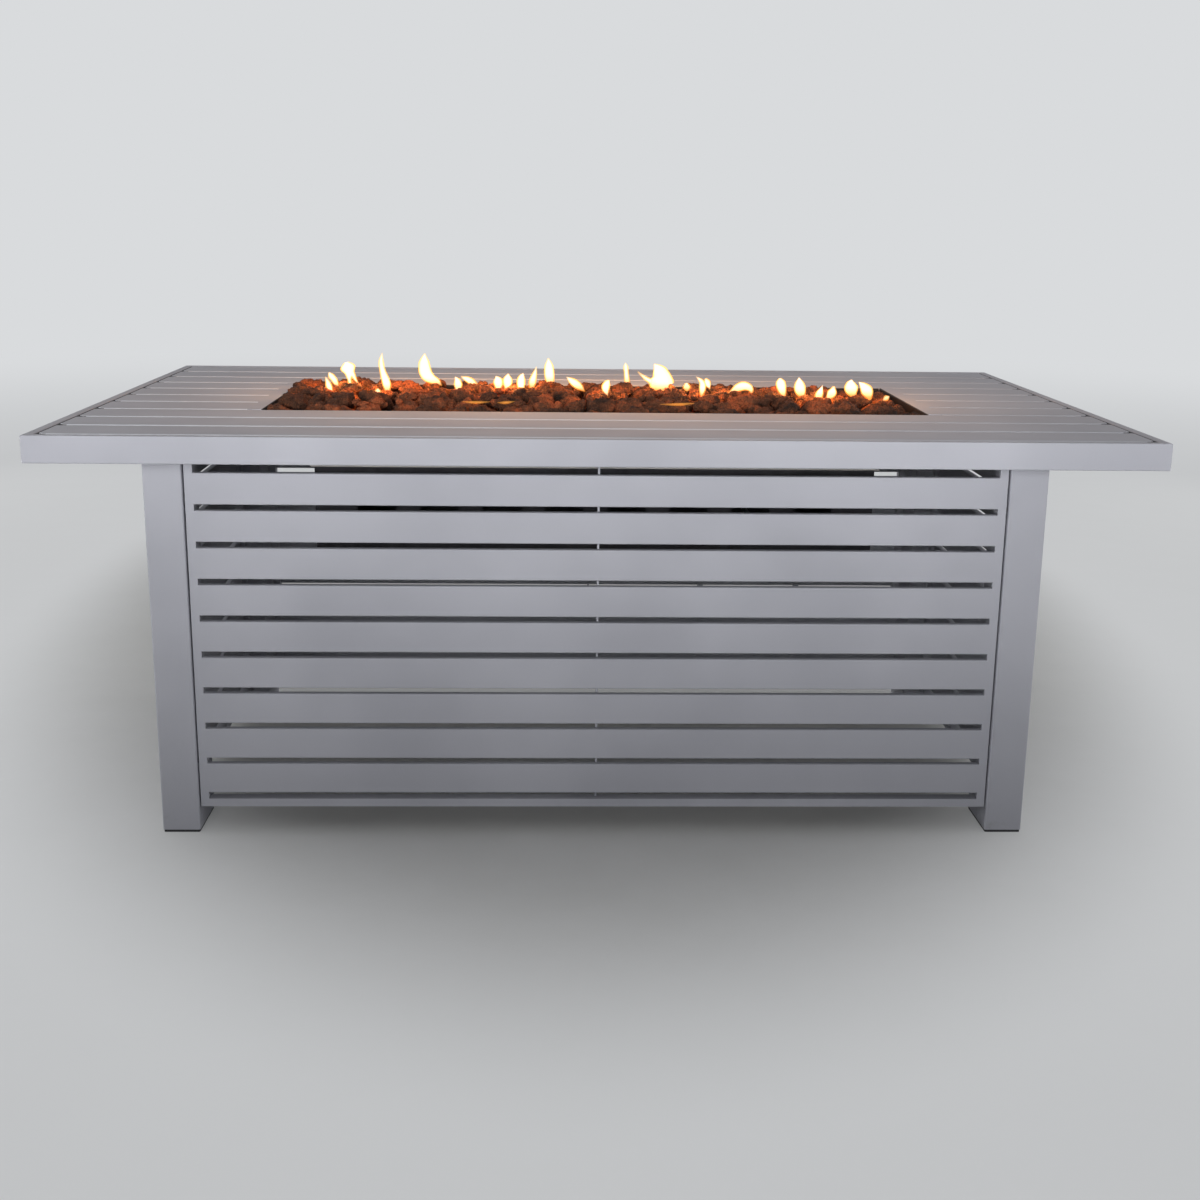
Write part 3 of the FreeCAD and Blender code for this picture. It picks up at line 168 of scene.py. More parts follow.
class Finish:
    def __init__(self, name, world=False):
        self.owner = (bpy.data.worlds if world else bpy.data.materials).new(name)
        self.owner.use_nodes = True
        self.tree = self.owner.node_tree
        self.tree.nodes.clear()
        self.out = self.tree.nodes.new("ShaderNodeOutputWorld" if world else "ShaderNodeOutputMaterial")

    def node(self, kind, settings=None, values=None, output=0):
        made = self.tree.nodes.new(kind)
        for key, value in (settings or {}).items():
            if key == "stops":
                self.setStops(made.color_ramp, value)
            else:
                setattr(made, key, value)
        for key, value in (values or {}).items():
            if isinstance(value, Wire):
                self.tree.links.new(value.socket, made.inputs[key])
            else:
                made.inputs[key].default_value = value
        return Wire(self, made.outputs[output])

    def setStops(self, ramp, stops):
        while len(ramp.elements) < len(stops):
            ramp.elements.new(1)
        for element, (place, colour) in zip(ramp.elements, stops):
            element.position = place
            element.color = colour

    def spot(self):
        return self.node("ShaderNodeTexCoord", output="Object")

    def axis(self, letter):
        return self.node("ShaderNodeSeparateXYZ", None, {0: self.spot()}, "XYZ".index(letter))

    def stretched(self, scale):
        return self.node("ShaderNodeMapping", None, {"Vector": self.spot(), "Scale": scale})

    def noise(self, scale, detail=2, roughness=0.5, stretch=(1, 1, 1)):
        values = {"Vector": self.stretched(stretch), "Scale": scale, "Detail": detail,
                  "Roughness": roughness}
        return self.node("ShaderNodeTexNoise", None, values)

    def streaks(self, run, squeeze, scale, detail, roughness):
        stretch = [squeeze if letter == run else 1 for letter in "XYZ"]
        return self.noise(scale, detail, roughness, stretch)

    def cells(self, scale):
        return self.node("ShaderNodeTexVoronoi", None, {"Vector": self.spot(), "Scale": scale})

    def blend(self, factor, first, second):
        return self.node("ShaderNodeMix", {"data_type": "RGBA"}, {0: factor, 6: first, 7: second}, 2)

    def ramp(self, along, stops):
        return self.node("ShaderNodeValToRGB", {"stops": stops}, {0: along})

    def vectors(self, operation, *parts, output=0):
        settings = {"operation": operation}
        return self.node("ShaderNodeVectorMath", settings, dict(enumerate(parts)), output)

    def bump(self, height, depth, strength, under=None):
        values = {"Height": height, "Distance": depth, "Strength": strength}
        if under is not None:
            values["Normal"] = under
        return self.node("ShaderNodeBump", None, values)

    def eyeRays(self):
        camera, glossy, through = [self.node("ShaderNodeLightPath", output="Is %s Ray" % kind)
                                   for kind in ("Camera", "Glossy", "Transmission")]
        return camera.highest(glossy).highest(through)

    def shell(self, values):
        return self.show(self.node("ShaderNodeBsdfPrincipled", None, values))

    def show(self, shader, socket="Surface"):
        self.tree.links.new(shader.socket, self.out.inputs[socket])
        return self.owner


def tint(code):
    colour = []
    for start in (0, 2, 4):
        share = int(code[start:start + 2], 16) / 255
        colour.append(share / 12.92 if share <= 0.04045 else ((share + 0.055) / 1.055) ** 2.4)
    return (*colour, 1.0)


# Powder coat. Bands of painted highlight and painted shade are given by their depths under the top.

powder = {"light": "B5B6BE", "dark": "A7A8B0", "cloudScale": 2.6, "rough": 0.56, "shine": 0.18,
          "peelScale": 620, "peelDepth": 0.00012,
          "lineScale": 330, "lineDepth": 0.00004, "lineSqueeze": 0.012,
          "fleck": "D2D4D9", "fleckScale": 1500, "fleckShare": 0.25,
          "scuff": "8C8A88", "scuffScale": 45, "scuffShare": 0.35, "footHeight": 0.07,
          "wearAndHighlight": "D9DCE2", "highlightLeast": 0.35, "highlightFadeFrom": -0.1, "highlightFadeTo": 0.45,
          "highlightTop": 0.0001, "highlightFoot": 0.0006, "highlightBed": 0.0065,
          "grooveShade": "3A393B", "grooveShadeTop": 0.0004, "grooveShadeFoot": 0.0014, "jointInner": 0.7355,
          "jointOuter": 0.7515, "soft": 0.001,
          "sootAndShade": "241C18", "sootShadeFull": 0.4, "boardSootShade": 0.0062, "barSootShade": 0.0016,
          "sootShadeEnd": 0.499, "sootShadeFade": 0.003}


# Painted highlight: the coat is painted paler along the rounded top edges of the boards, fully at the
# left end and less towards the right
def paintedEdgeHighlight(finish):
    height = finish.axis("Z")
    fading = finish.axis("X").between(powder["highlightFadeTo"], powder["highlightFadeFrom"])
    highlightShare = powder["highlightLeast"] + (1 - powder["highlightLeast"]) * fading
    bed = topLevel - powder["highlightBed"]
    edgeBand = height.between(topLevel - powder["highlightTop"], topLevel - powder["highlightFoot"])
    return highlightShare * edgeBand * height.between(bed - powder["soft"], bed)


# Painted shade: the coat is painted dark just under the top over the side rails' width, darkening their
# rounded inner edge in the groove where the boards' ends meet them
def paintedGrooveShade(finish):
    beside = finish.axis("X").size()
    sunk = finish.axis("Z").between(topLevel - powder["grooveShadeTop"], topLevel - powder["grooveShadeFoot"])
    inner = beside.between(powder["jointInner"] - powder["soft"], powder["jointInner"])
    return sunk * inner * beside.between(powder["jointOuter"], powder["jointOuter"] - powder["soft"])


# Soot and painted shade darken what faces the fire: letter is the axis across that face, place its
# distance
def hearthSootAndShade(finish, letter, place, deep):
    across, along = finish.axis(letter), finish.axis("X" if letter == "Y" else "Y")
    facing = across.size().between(place + deep, place + deep * powder["sootShadeFull"])
    return facing * along.size().between(powder["sootShadeEnd"] + powder["sootShadeFade"], powder["sootShadeEnd"])


def powderCoat(name, run, wearAndHighlight=False, joints=False, hearth=None, printed=False):
    finish = Finish(name)
    cloud = finish.noise(powder["cloudScale"], 3, 0.6)
    peel = finish.noise(powder["peelScale"])
    lines = finish.streaks(run, powder["lineSqueeze"], powder["lineScale"], 1, 0.4)
    fleck = finish.cells(powder["fleckScale"]).between(0.22, 0.1)
    low = finish.axis("Z").between(powder["footHeight"], 0.0)
    scuff = low * finish.noise(powder["scuffScale"], 4, 0.7).between(0.55, 0.75)
    colour = finish.blend(cloud.between(0.3, 0.7), tint(powder["light"]), tint(powder["dark"]))
    colour = finish.blend(fleck * powder["fleckShare"], colour, tint(powder["fleck"]))
    colour = finish.blend(scuff * powder["scuffShare"], colour, tint(powder["scuff"]))
    # painted highlight along the boards' rounded top edges
    if wearAndHighlight:
        colour = finish.blend(paintedEdgeHighlight(finish), colour, tint(powder["wearAndHighlight"]))
    # painted shade in the groove by the side rails
    if joints:
        colour = finish.blend(paintedGrooveShade(finish), colour, tint(powder["grooveShade"]))
    # soot and painted shade on the faces towards the fire
    if hearth is not None:
        colour = finish.blend(hearthSootAndShade(finish, *hearth), colour, tint(powder["sootAndShade"]))
    if printed:
        colour = finish.blend(printedTicks(finish), colour, tint(dial["print"]))
    rough = powder["rough"] + (cloud - 0.5) * 0.12 + scuff * 0.2 - fleck * 0.08
    relief = finish.bump(peel, powder["peelDepth"], 0.5)
    relief = finish.bump(lines, powder["lineDepth"], 0.4, relief)
    return finish.shell({"Base Color": colour, "Roughness": rough, "Metallic": 0.0,
                         "Specular IOR Level": powder["shine"], "Normal": relief})


# Bare metals: brushed stainless, some of it blued by the fire, dark shield, brass and plated zinc

steel = {"grainScale": 900, "grainSqueeze": 0.02, "grainDepth": 0.00006, "cloudScale": 9,
         "straw": "B89A5C", "bronze": "8A5A4A", "blue": "4A4E72"}
shield = {"dark": "2A2A2C", "wearAndHighlight": "434246", "bare": "AFABA8", "rough": 0.5, "cloudScale": 14,
          "cloudDepth": 0.0003, "spangleScale": 60, "rimFrom": 0.5195, "rimFade": 0.001}
brass = {"light": "C9A55A", "stain": "7E5F2C", "rough": 0.3, "grainScale": 260, "grainDepth": 0.00008,
         "stainScale": 38}
zinc = {"light": "B9BCC0", "straw": "C8BFA0", "rough": 0.34, "cloudScale": 90, "cloudDepth": 0.00005}


def brushedSteel(name, base, dark, run, rough, heat=0.0):
    finish = Finish(name)
    grain = finish.streaks(run, steel["grainSqueeze"], steel["grainScale"], 3, 0.6)
    cloud = finish.noise(steel["cloudScale"], 4, 0.6)
    colour = finish.blend(grain.between(0.3, 0.7), tint(dark), tint(base))
    if heat:
        burnt = finish.ramp(cloud.between(0.35, 0.75), [
            (0.0, tint(base)), (0.35, tint(steel["straw"])), (0.6, tint(steel["bronze"])),
            (0.85, tint(steel["blue"]))])
        colour = finish.blend(heat, colour, burnt)
    rough = rough + (grain - 0.5) * 0.18 + (cloud - 0.5) * 0.1
    return finish.shell({"Base Color": colour, "Roughness": rough, "Metallic": 1.0,
                         "Normal": finish.bump(grain, steel["grainDepth"], 0.5)})


def darkShield(name):
    finish = Finish(name)
    spangle = finish.cells(shield["spangleScale"])
    cloud = finish.noise(shield["cloudScale"], 5, 0.65)
    colour = finish.blend(cloud.between(0.3, 0.7), tint(shield["dark"]), tint(shield["wearAndHighlight"]))
    colour = finish.blend(spangle.between(0.0, 0.6) * 0.3, colour, tint(shield["wearAndHighlight"]))
    rim = finish.axis("Z").between(shield["rimFrom"], shield["rimFrom"] + shield["rimFade"])
    colour = finish.blend(rim, colour, tint(shield["bare"]))
    return finish.shell({"Base Color": colour, "Roughness": shield["rough"] + (cloud - 0.5) * 0.3,
                         "Metallic": 0.8, "Normal": finish.bump(cloud, shield["cloudDepth"], 0.3)})


def castBrass(name):
    finish = Finish(name)
    grain = finish.noise(brass["grainScale"], 4, 0.6)
    stain = finish.noise(brass["stainScale"], 5, 0.7).between(0.45, 0.75)
    colour = finish.blend(stain * 0.6, tint(brass["light"]), tint(brass["stain"]))
    rough = brass["rough"] + stain * 0.22 + (grain - 0.5) * 0.1
    return finish.shell({"Base Color": colour, "Roughness": rough, "Metallic": 1.0,
                         "Normal": finish.bump(grain, brass["grainDepth"], 0.4)})


def platedZinc(name):
    finish = Finish(name)
    cloud = finish.noise(zinc["cloudScale"], 3, 0.6)
    colour = finish.blend(cloud.between(0.35, 0.65), tint(zinc["light"]), tint(zinc["straw"]))
    return finish.shell({"Base Color": colour, "Roughness": zinc["rough"] + (cloud - 0.5) * 0.2,
                         "Metallic": 1.0, "Normal": finish.bump(cloud, zinc["cloudDepth"], 0.3)})


# Paint of the controls: a white stripe in the knob's groove, and a printed ring of ticks round it

dial = {"across": 0.262, "up": 0.4791, "stripe": "E8E8E4", "print": "2B2C2E", "soft": 0.0001,
        "grooveHalf": 0.0011, "grooveFull": 0.9, "grooveFoot": 0.4843, "grooveTop": 0.4943,
        "grooveBed": 0.3621, "paintTop": 0.0004, "paintFull": 0.0002, "plateFace": 0.3343,
        "ringInner": 0.025, "ringOuter": 0.0285, "ticks": 12, "tickEdge": 0.93, "tickFade": 0.02}


def grooveStripe(finish):
    half = dial["grooveHalf"]
    beside = (finish.axis("X") - dial["across"]).size().between(half, half * dial["grooveFull"])
    height = finish.axis("Z")
    aboveFoot = height.between(dial["grooveFoot"], dial["grooveFoot"] + dial["soft"])
    underTop = height.between(dial["grooveTop"], dial["grooveTop"] - dial["soft"])
    bed = dial["grooveBed"]
    sunk = finish.axis("Y").between(bed + dial["paintTop"], bed + dial["paintFull"])
    return beside * aboveFoot * underTop * sunk


def printedTicks(finish):
    across, up = finish.axis("X") - dial["across"], finish.axis("Z") - dial["up"]
    far = (across * across + up * up) ** 0.5
    beat = (up.angleOver(across) * dial["ticks"]).cosine()
    tick = beat.between(dial["tickEdge"], dial["tickEdge"] + dial["tickFade"])
    inner = far.between(dial["ringInner"] - dial["soft"], dial["ringInner"])
    outer = far.between(dial["ringOuter"], dial["ringOuter"] - dial["soft"])
    outside = finish.axis("Y").between(dial["plateFace"] - dial["soft"], dial["plateFace"])
    return inner * outer * outside * tick


# Plastic, ceramic and woven sleeve

moulding = {"grainScale": 1300, "grainDepth": 0.00008, "cloudScale": 30}
glaze = {"light": "EDE8DC", "stain": "B9AD98", "rough": 0.22, "coat": 0.4, "cloudScale": 120,
         "cloudDepth": 0.00004}
sleeve = {"dark": "54504A", "light": "8E887C", "rough": 0.75, "weaveScale": 1100, "weaveDepth": 0.0002}


def mouldedPlastic(name, base, light, rough, striped=False):
    finish = Finish(name)
    grain = finish.cells(moulding["grainScale"])
    cloud = finish.noise(moulding["cloudScale"], 3)
    colour = finish.blend(cloud.between(0.3, 0.7) * 0.6, tint(base), tint(light))
    if striped:
        colour = finish.blend(grooveStripe(finish), colour, tint(dial["stripe"]))
    return finish.shell({"Base Color": colour, "Roughness": rough + (cloud - 0.5) * 0.1, "Metallic": 0.0,
                         "Normal": finish.bump(grain, moulding["grainDepth"], 0.5)})


def glazedCeramic(name):
    finish = Finish(name)
    cloud = finish.noise(glaze["cloudScale"], 4, 0.6)
    colour = finish.blend(cloud.between(0.45, 0.8), tint(glaze["light"]), tint(glaze["stain"]))
    return finish.shell({"Base Color": colour, "Roughness": glaze["rough"] + cloud * 0.12,
                         "Metallic": 0.0, "Coat Weight": glaze["coat"],
                         "Normal": finish.bump(cloud, glaze["cloudDepth"], 0.3)})


def wovenSleeve(name):
    finish = Finish(name)
    weave = finish.cells(sleeve["weaveScale"])
    colour = finish.blend(weave.between(0.1, 0.6), tint(sleeve["dark"]), tint(sleeve["light"]))
    return finish.shell({"Base Color": colour, "Roughness": sleeve["rough"], "Metallic": 0.0,
                         "Normal": finish.bump(weave, sleeve["weaveDepth"], 0.8)})


# Lava, whose emission is painted firelight from the flames, as strong as the heat value that each point
# of its mesh holds

lava = {"black": "22150F", "brown": "5A3725", "red": "9A5433", "ash": "B98C68", "pit": "0E0907",
        "paintedFirelight": "3A0B02", "firelightWarm": "B03808", "firelightBright": "FF8A24", "glow": 2.2,
        "patchScale": 17, "stainScale": 60, "poreScale": 420, "poreDepth": 0.0018,
        "grainScale": 900, "grainDepth": 0.0006, "rough": 0.86, "shine": 0.25}


def lavaStone(name):
    finish = Finish(name)
    patch = finish.noise(lava["patchScale"], 3, 0.6)
    stain = finish.noise(lava["stainScale"], 5, 0.7)
    pores = finish.cells(lava["poreScale"])
    fine = finish.noise(lava["grainScale"], 4, 0.7)
    colour = finish.ramp(patch * 0.6 + stain * 0.4, [
        (0.38, tint(lava["black"])), (0.5, tint(lava["brown"])), (0.6, tint(lava["red"])),
        (0.8, tint(lava["brown"]))])
    colour = finish.blend(fine.between(0.55, 0.8) * 0.5, colour, tint(lava["ash"]))
    # painted shade: the pores, which are only bumps, are painted near black and take less of the painted
    # firelight
    shadedPores = pores.between(0.45, 0.12)
    colour = finish.blend(shadedPores * 0.7, colour, tint(lava["pit"]))
    # painted firelight: the emission glows where the heat attribute is high, near the flames
    heat = finish.node("ShaderNodeAttribute", {"attribute_name": "heat"}, None, "Fac")
    paintedFirelight = finish.ramp(heat * (0.35 + stain * 0.8) * (1 - shadedPores * 0.6), [
        (0.0, (0, 0, 0, 1)), (0.35, tint(lava["paintedFirelight"])), (0.7, tint(lava["firelightWarm"])),
        (1.0, tint(lava["firelightBright"]))])
    relief = finish.bump(pores, lava["poreDepth"], 0.9)
    relief = finish.bump(fine, lava["grainDepth"], 0.6, relief)
    return finish.shell({"Base Color": colour, "Roughness": lava["rough"] + (fine - 0.5) * 0.2,
                         "Metallic": 0.0, "Specular IOR Level": lava["shine"],
                         "Emission Color": paintedFirelight, "Emission Strength": lava["glow"], "Normal": relief})


coatAlongX = powderCoat("powder_along_x", "X")
coatAlongY = powderCoat("powder_along_y", "Y")
coatAlongZ = powderCoat("powder_along_z", "Z")
boardCoat = powderCoat("powder_boards", "X", wearAndHighlight=True, joints=True)
sideRailCoat = powderCoat("powder_side_rails", "X", joints=True)
hearthAlongX = powderCoat("powder_hearth_x", "X", wearAndHighlight=True, joints=True, hearth=(
    "Y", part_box("top_board_rear_1")[0].y, powder["boardSootShade"]))
hearthAlongY = powderCoat("powder_hearth_y", "Y", hearth=(
    "X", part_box("opening_crossbar_right")[0].x, powder["barSootShade"]))
plateCoat = powderCoat("powder_control_plate", "X", printed=True)
trayMetal = brushedSteel("tray_stainless", "A9A49C", "837D76", "X", 0.36, 0.55)
burnerMetal = brushedSteel("burner_stainless", "9C958A", "6E675F", "X", 0.38, 0.8)
fittingSteel = brushedSteel("fitting_stainless", "C4C3C0", "9E9D9B", "Z", 0.28)
tubeMetal = brushedSteel("drawn_aluminium", "C9CBCE", "A6A8AC", "X", 0.3)
shieldMetal = darkShield("dark_shield_steel")
brassMetal = castBrass("machined_brass")
zincMetal = platedZinc("plated_zinc")
blackMoulding = mouldedPlastic("black_moulding", "17181A", "232426", 0.55)
knobMoulding = mouldedPlastic("knob_moulding", "0F1012", "1C1D1F", 0.38, striped=True)
porcelain = glazedCeramic("fired_porcelain")
sleeving = wovenSleeve("glass_sleeving")
lavaFinish = lavaStone("lava_stone")
print("finishes made")

# Finish of each material slot that the nodes bring from model.glb, then the nodes whose brushed lines
# run another way
slotFinish = {"stainless": fittingSteel, "shield_steel": shieldMetal, "brass": brassMetal,
              "gas_tube": tubeMetal, "zinc": zincMetal, "lava": lavaFinish,
              "black_plastic": blackMoulding, "knob_plastic": knobMoulding, "ceramic": porcelain,
              "lead_sleeve": sleeving}
alongY = ("top_rail_left", "top_rail_right", "opening_crossbar_left", "opening_crossbar_right",
          "top_bearers", "base_beam_left", "base_beam_right", "left_panel_slats", "door_slats")
alongZ = ("leg_front_left", "leg_front_right", "leg_rear_left", "leg_rear_right", "left_panel_frame",
          "door_frame", "leg_hinge_leaves", "door_hinge_leaves")
special = {"fire_tray": trayMetal, "burner": burnerMetal, "pilot_hood": burnerMetal,
           "control_plate": plateCoat}

for nodeName, node in nodes.items():
    for slot in node.material_slots:
        kind = slot.material.name.split(".")[0]
        if nodeName in special:
            slot.material = special[nodeName]
        elif kind != "powder_coat":
            slot.material = slotFinish[kind]
        elif nodeName in alongY:
            slot.material = coatAlongY
        elif nodeName in alongZ:
            slot.material = coatAlongZ
        else:
            slot.material = coatAlongX
print("nodes dressed")


# Top boards: long edges rolled over, and corners nicked where they meet the side rails

boards = {"round": 0.0062, "roundSteps": 4, "fullness": 0.34, "nick": 0.009, "shortRows": 4,
          "barRound": 0.002, "hearthReach": 0.25}


def evenFlats(piece):
    applyModifier(piece, "WEIGHTED_NORMAL", keep_sharp=True)


def makeBlock(name, low, high):
    startFresh()
    bpy.ops.mesh.primitive_cube_add(size=1, location=(low + high) / 2)
    bpy.ops.transform.resize(value=high - low)
    piece = bpy.context.active_object
    piece.name = name
    applyPlace(piece)
    return piece


def makeBoard(name, low, high, railEnds):
    piece = makeBlock(name, low, high)
    pickEdges(piece, lambda a, b: min(a.z, b.z) > high.z - hair and abs(a.y - b.y) < hair)
    bevelPicked(boards["round"], boards["roundSteps"], boards["fullness"])
    bpy.ops.object.mode_set(mode="EDIT")
    for end in railEnds:
        outward = math.copysign(1, end)
        for edge, side in ((low.y, -1), (high.y, 1)):
            bpy.ops.mesh.select_all(action="SELECT")
            bpy.ops.mesh.bisect(plane_co=(end - outward * boards["nick"], edge, low.z),
                                plane_no=(outward, side, 0), use_fill=True, clear_outer=True)
    bpy.ops.object.mode_set(mode="OBJECT")
    smoothShade(piece)
    evenFlats(piece)
    dress(piece, boardCoat)
    return piece


def layBoards():
    for side in ("front", "rear"):
        for row in range(1, 4):
            nodeName = "top_board_%s_%d" % (side, row)
            low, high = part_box(nodeName)
            piece = makeBoard("plank_%s_%d" % (side, row), low, high, (low.x, high.x))
            if abs(low.y + high.y) / 2 < boards["hearthReach"]:
                dress(piece, hearthAlongX)
            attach(piece, "root")
            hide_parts(nodeName)
    for side in ("left", "right"):
        nodeName = "top_boards_" + side
        low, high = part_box(nodeName)
        first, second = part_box("top_board_front_1"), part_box("top_board_front_2")
        width = first[1].y - first[0].y
        pitch = second[0].y - first[0].y
        outer = low.x if side == "left" else high.x
        planks = []
        for row in range(boards["shortRows"]):
            start = low.y + pitch * row
            planks.append(makeBoard("short", Vector((low.x, start, low.z)),
                                    Vector((high.x, start + width, high.z)), (outer,)))
        piece = joinAll(planks, "planks_" + side)
        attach(piece, "root")
        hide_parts(nodeName)
    print("boards laid")


# The flush bars at the short ends of the opening close up against the boards' ends

def setCrossbars():
    for side, outward in (("left", -1), ("right", 1)):
        nodeName = "opening_crossbar_" + side
        low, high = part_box(nodeName)
        boardLow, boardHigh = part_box("top_boards_" + side)
        if outward < 0:
            low.x = boardHigh.x
            fireSide = high.x
        else:
            high.x = boardLow.x
            fireSide = low.x
        piece = makeBlock("crossbar_" + side, low, high)
        pickEdges(piece, lambda a, b: min(a.z, b.z) > high.z - hair and abs(a.x - b.x) < hair
                  and abs(a.x - fireSide) < hair)
        bevelPicked(boards["barRound"], boards["roundSteps"])
        smoothShade(piece)
        evenFlats(piece)
        dress(piece, hearthAlongY)
        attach(piece, "root")
        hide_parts(nodeName)
    print("crossbars set")


# Rim: four mitred rails with a lip under the boards, their inner top edge rolled like a board's

rim = {"width": 0.016, "round": 0.0015, "roundSteps": 3, "inner": 0.0045,
       "lip": 0.012, "lipThick": 0.003, "overlap": 0.001}


def mitreEnds(piece, run, face):
    pickOnly(piece)
    bpy.ops.object.mode_set(mode="EDIT")
    for side in (-1, 1):
        bpy.ops.mesh.select_all(action="SELECT")
        bpy.ops.mesh.bisect(plane_co=(side * run / 2, face, 0), plane_no=(side, 1, 0), use_fill=True,
                            clear_outer=True)
    bpy.ops.object.mode_set(mode="OBJECT")


def makeRail(name, run, out, foot, top, turn):
    face = -out
    inner = face + rim["width"]
    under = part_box("top_board_front_1")[0].z
    bar = makeBlock(name, Vector((-run / 2, face, foot)), Vector((run / 2, inner, top)))
    pickEdges(bar, lambda a, b: max(a.y, b.y) < face + hair and abs(a.z - b.z) < hair)
    bevelPicked(rim["round"], rim["roundSteps"])
    pickEdges(bar, lambda a, b: min(a.y, b.y) > inner - hair and min(a.z, b.z) > top - hair)
    bevelPicked(rim["inner"], boards["roundSteps"], boards["fullness"])
    mitreEnds(bar, run, face)
    lip = makeBlock("lip", Vector((-run / 2, inner - rim["overlap"], under - rim["lipThick"])),
                    Vector((run / 2, inner + rim["lip"], under)))
    mitreEnds(lip, run, face)
    piece = joinAll([bar, lip], name)
    piece.rotation_euler = (0, 0, math.radians(turn))
    applyPlace(piece)
    smoothShade(piece)
    evenFlats(piece)
    return piece


def fitRim():
    for side, turn in (("front", 0), ("right", 90), ("rear", 180), ("left", -90)):
        nodeName = "top_rail_" + side
        low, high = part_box(nodeName)
        along = "x" if turn in (0, 180) else "y"
        across = "y" if along == "x" else "x"
        run = getattr(high, along) - getattr(low, along)
        out = max(abs(getattr(low, across)), abs(getattr(high, across)))
        piece = makeRail("rim_" + side, run, out, low.z, high.z, turn)
        dress(piece, coatAlongX if along == "x" else sideRailCoat)
        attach(piece, "root")
        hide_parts(nodeName)
    print("rim fitted")


layBoards()
setCrossbars()
fitRim()


# Flames, in millimetres: how far across and back the foot stands from the middle of the top,
# then steps from the foot to the tip, each sideways and up from the foot, and its width

flames = [
    (-415, -29, (0, 6, 2), (-6, 17, 11), (-9, 26, 8), (-12, 34, 2)),
    (-418, 57, (0, 5, 5), (-4, 13, 10), (-8, 21, 11), (-13, 27, 10), (-16, 32, 2)),
    (-391, 44, (0, 5, 2), (-6, 14, 7), (-8, 24, 9), (-8, 33, 18), (-10, 42, 25), (-12, 49, 10)),
    (-383, 44, (0, 13, 2), (-6, 22, 7), (-12, 35, 10)),
    (-333, 5, (0, 7, 10), (-1, 19, 15), (-7, 40, 11), (-9, 55, 9), (-7, 69, 2)),
    (-342, -51, (0, 8, 5), (0, 13, 12), (0, 18, 5)),
    (-252, 99, (0, 6, 3), (-7, 13, 11), (-18, 18, 18), (-26, 26, 22), (-29, 38, 21), (-29, 48, 16),
     (-28, 60, 3)),
    (-223, 13, (0, 7, 4), (3, 15, 14), (2, 24, 12), (-2, 31, 2)),
    (-187, 74, (0, 4, 2), (-9, 12, 10), (-19, 19, 12), (-32, 25, 3)),
    (-154, 18, (0, 7, 8), (-1, 16, 14), (-2, 25, 16), (-5, 32, 3)),
    (-140, 19, (0, 5, 9), (0, 16, 14), (0, 27, 16), (1, 36, 3)),
    (-115, -7, (0, 6, 6), (-3, 20, 14), (-2, 32, 13), (1, 40, 2)),
    (-102, 81, (0, 5, 10), (1, 16, 13), (5, 30, 9), (8, 42, 2)),
    (-71, 144, (0, 4, 14), (-2, 22, 18), (-3, 38, 15), (-4, 50, 3)),
    (-14, 43, (0, 5, 3), (-7, 11, 11), (-15, 17, 14), (-23, 23, 11), (-31, 29, 2)),
    (21, -39, (0, 7, 2), (-4, 20, 14), (-1, 29, 11), (2, 33, 3)),
    (60, 150, (0, 7, 11), (-2, 26, 9), (-3, 36, 9), (-4, 43, 2)),
    (115, 66, (0, 12, 15), (-15, 18, 11), (-28, 25, 8), (-42, 36, 3)),
    (122, 68, (0, 3, 14), (-8, 12, 38), (-9, 21, 41), (-10, 30, 31), (-15, 40, 21), (-22, 49, 3)),
    (155, 55, (0, 6, 7), (-1, 12, 14), (-2, 19, 7)),
    (170, -29, (0, 6, 6), (2, 20, 12), (1, 29, 10), (-9, 39, 2)),
    (190, 28, (0, 12, 3), (-5, 23, 12), (-8, 30, 5)),
    (217, 17, (0, 6, 2), (9, 11, 10), (19, 17, 15), (29, 19, 15), (38, 14, 11), (40, 5, 5)),
    (305, -19, (0, 5, 8), (-4, 18, 15), (-7, 30, 16), (-8, 36, 6)),
    (336, -17, (0, 4, 9), (-5, 16, 19), (-7, 28, 16), (-8, 38, 2)),
    (352, -57, (0, 5, 11), (3, 15, 14), (8, 30, 2)),
    (365, -56, (0, 5, 3), (10, 17, 16), (13, 28, 5)),
    (422, 3, (0, 4, 10), (-5, 17, 23), (-6, 27, 16), (-5, 33, 2)),
    (443, -23, (0, 3, 8), (-5, 16, 20), (-12, 25, 14), (-20, 32, 2)),
    (452, -76, (0, 8, 2), (6, 12, 10), (11, 15, 3)),
    (-204, -150, (0, 10, 2), (20, 9, 5), (42, 10, 2)),
    (-151, -150, (0, 9, 2), (13, 9, 5), (27, 11, 2)),
    (96, -155, (0, 9, 2), (30, 9, 5), (53, 11, 2))]


def flameSteps(flame):
    across, back = flame[0] / 1000, flame[1] / 1000
    return [(Vector((across + sideways / 1000, back, topLevel + up / 1000)), width / 1000)
            for sideways, up, width in flame[2:]]


# Foot of each flame, and how tall it stands
flameFeet = []
for flame in flames:
    steps = flameSteps(flame)
    flameFeet.append((steps[0][0], steps[-1][0].z - steps[0][0].z))


# Lava rocks: a few broken, pitted lumps, turned and scaled into a heap over the burner

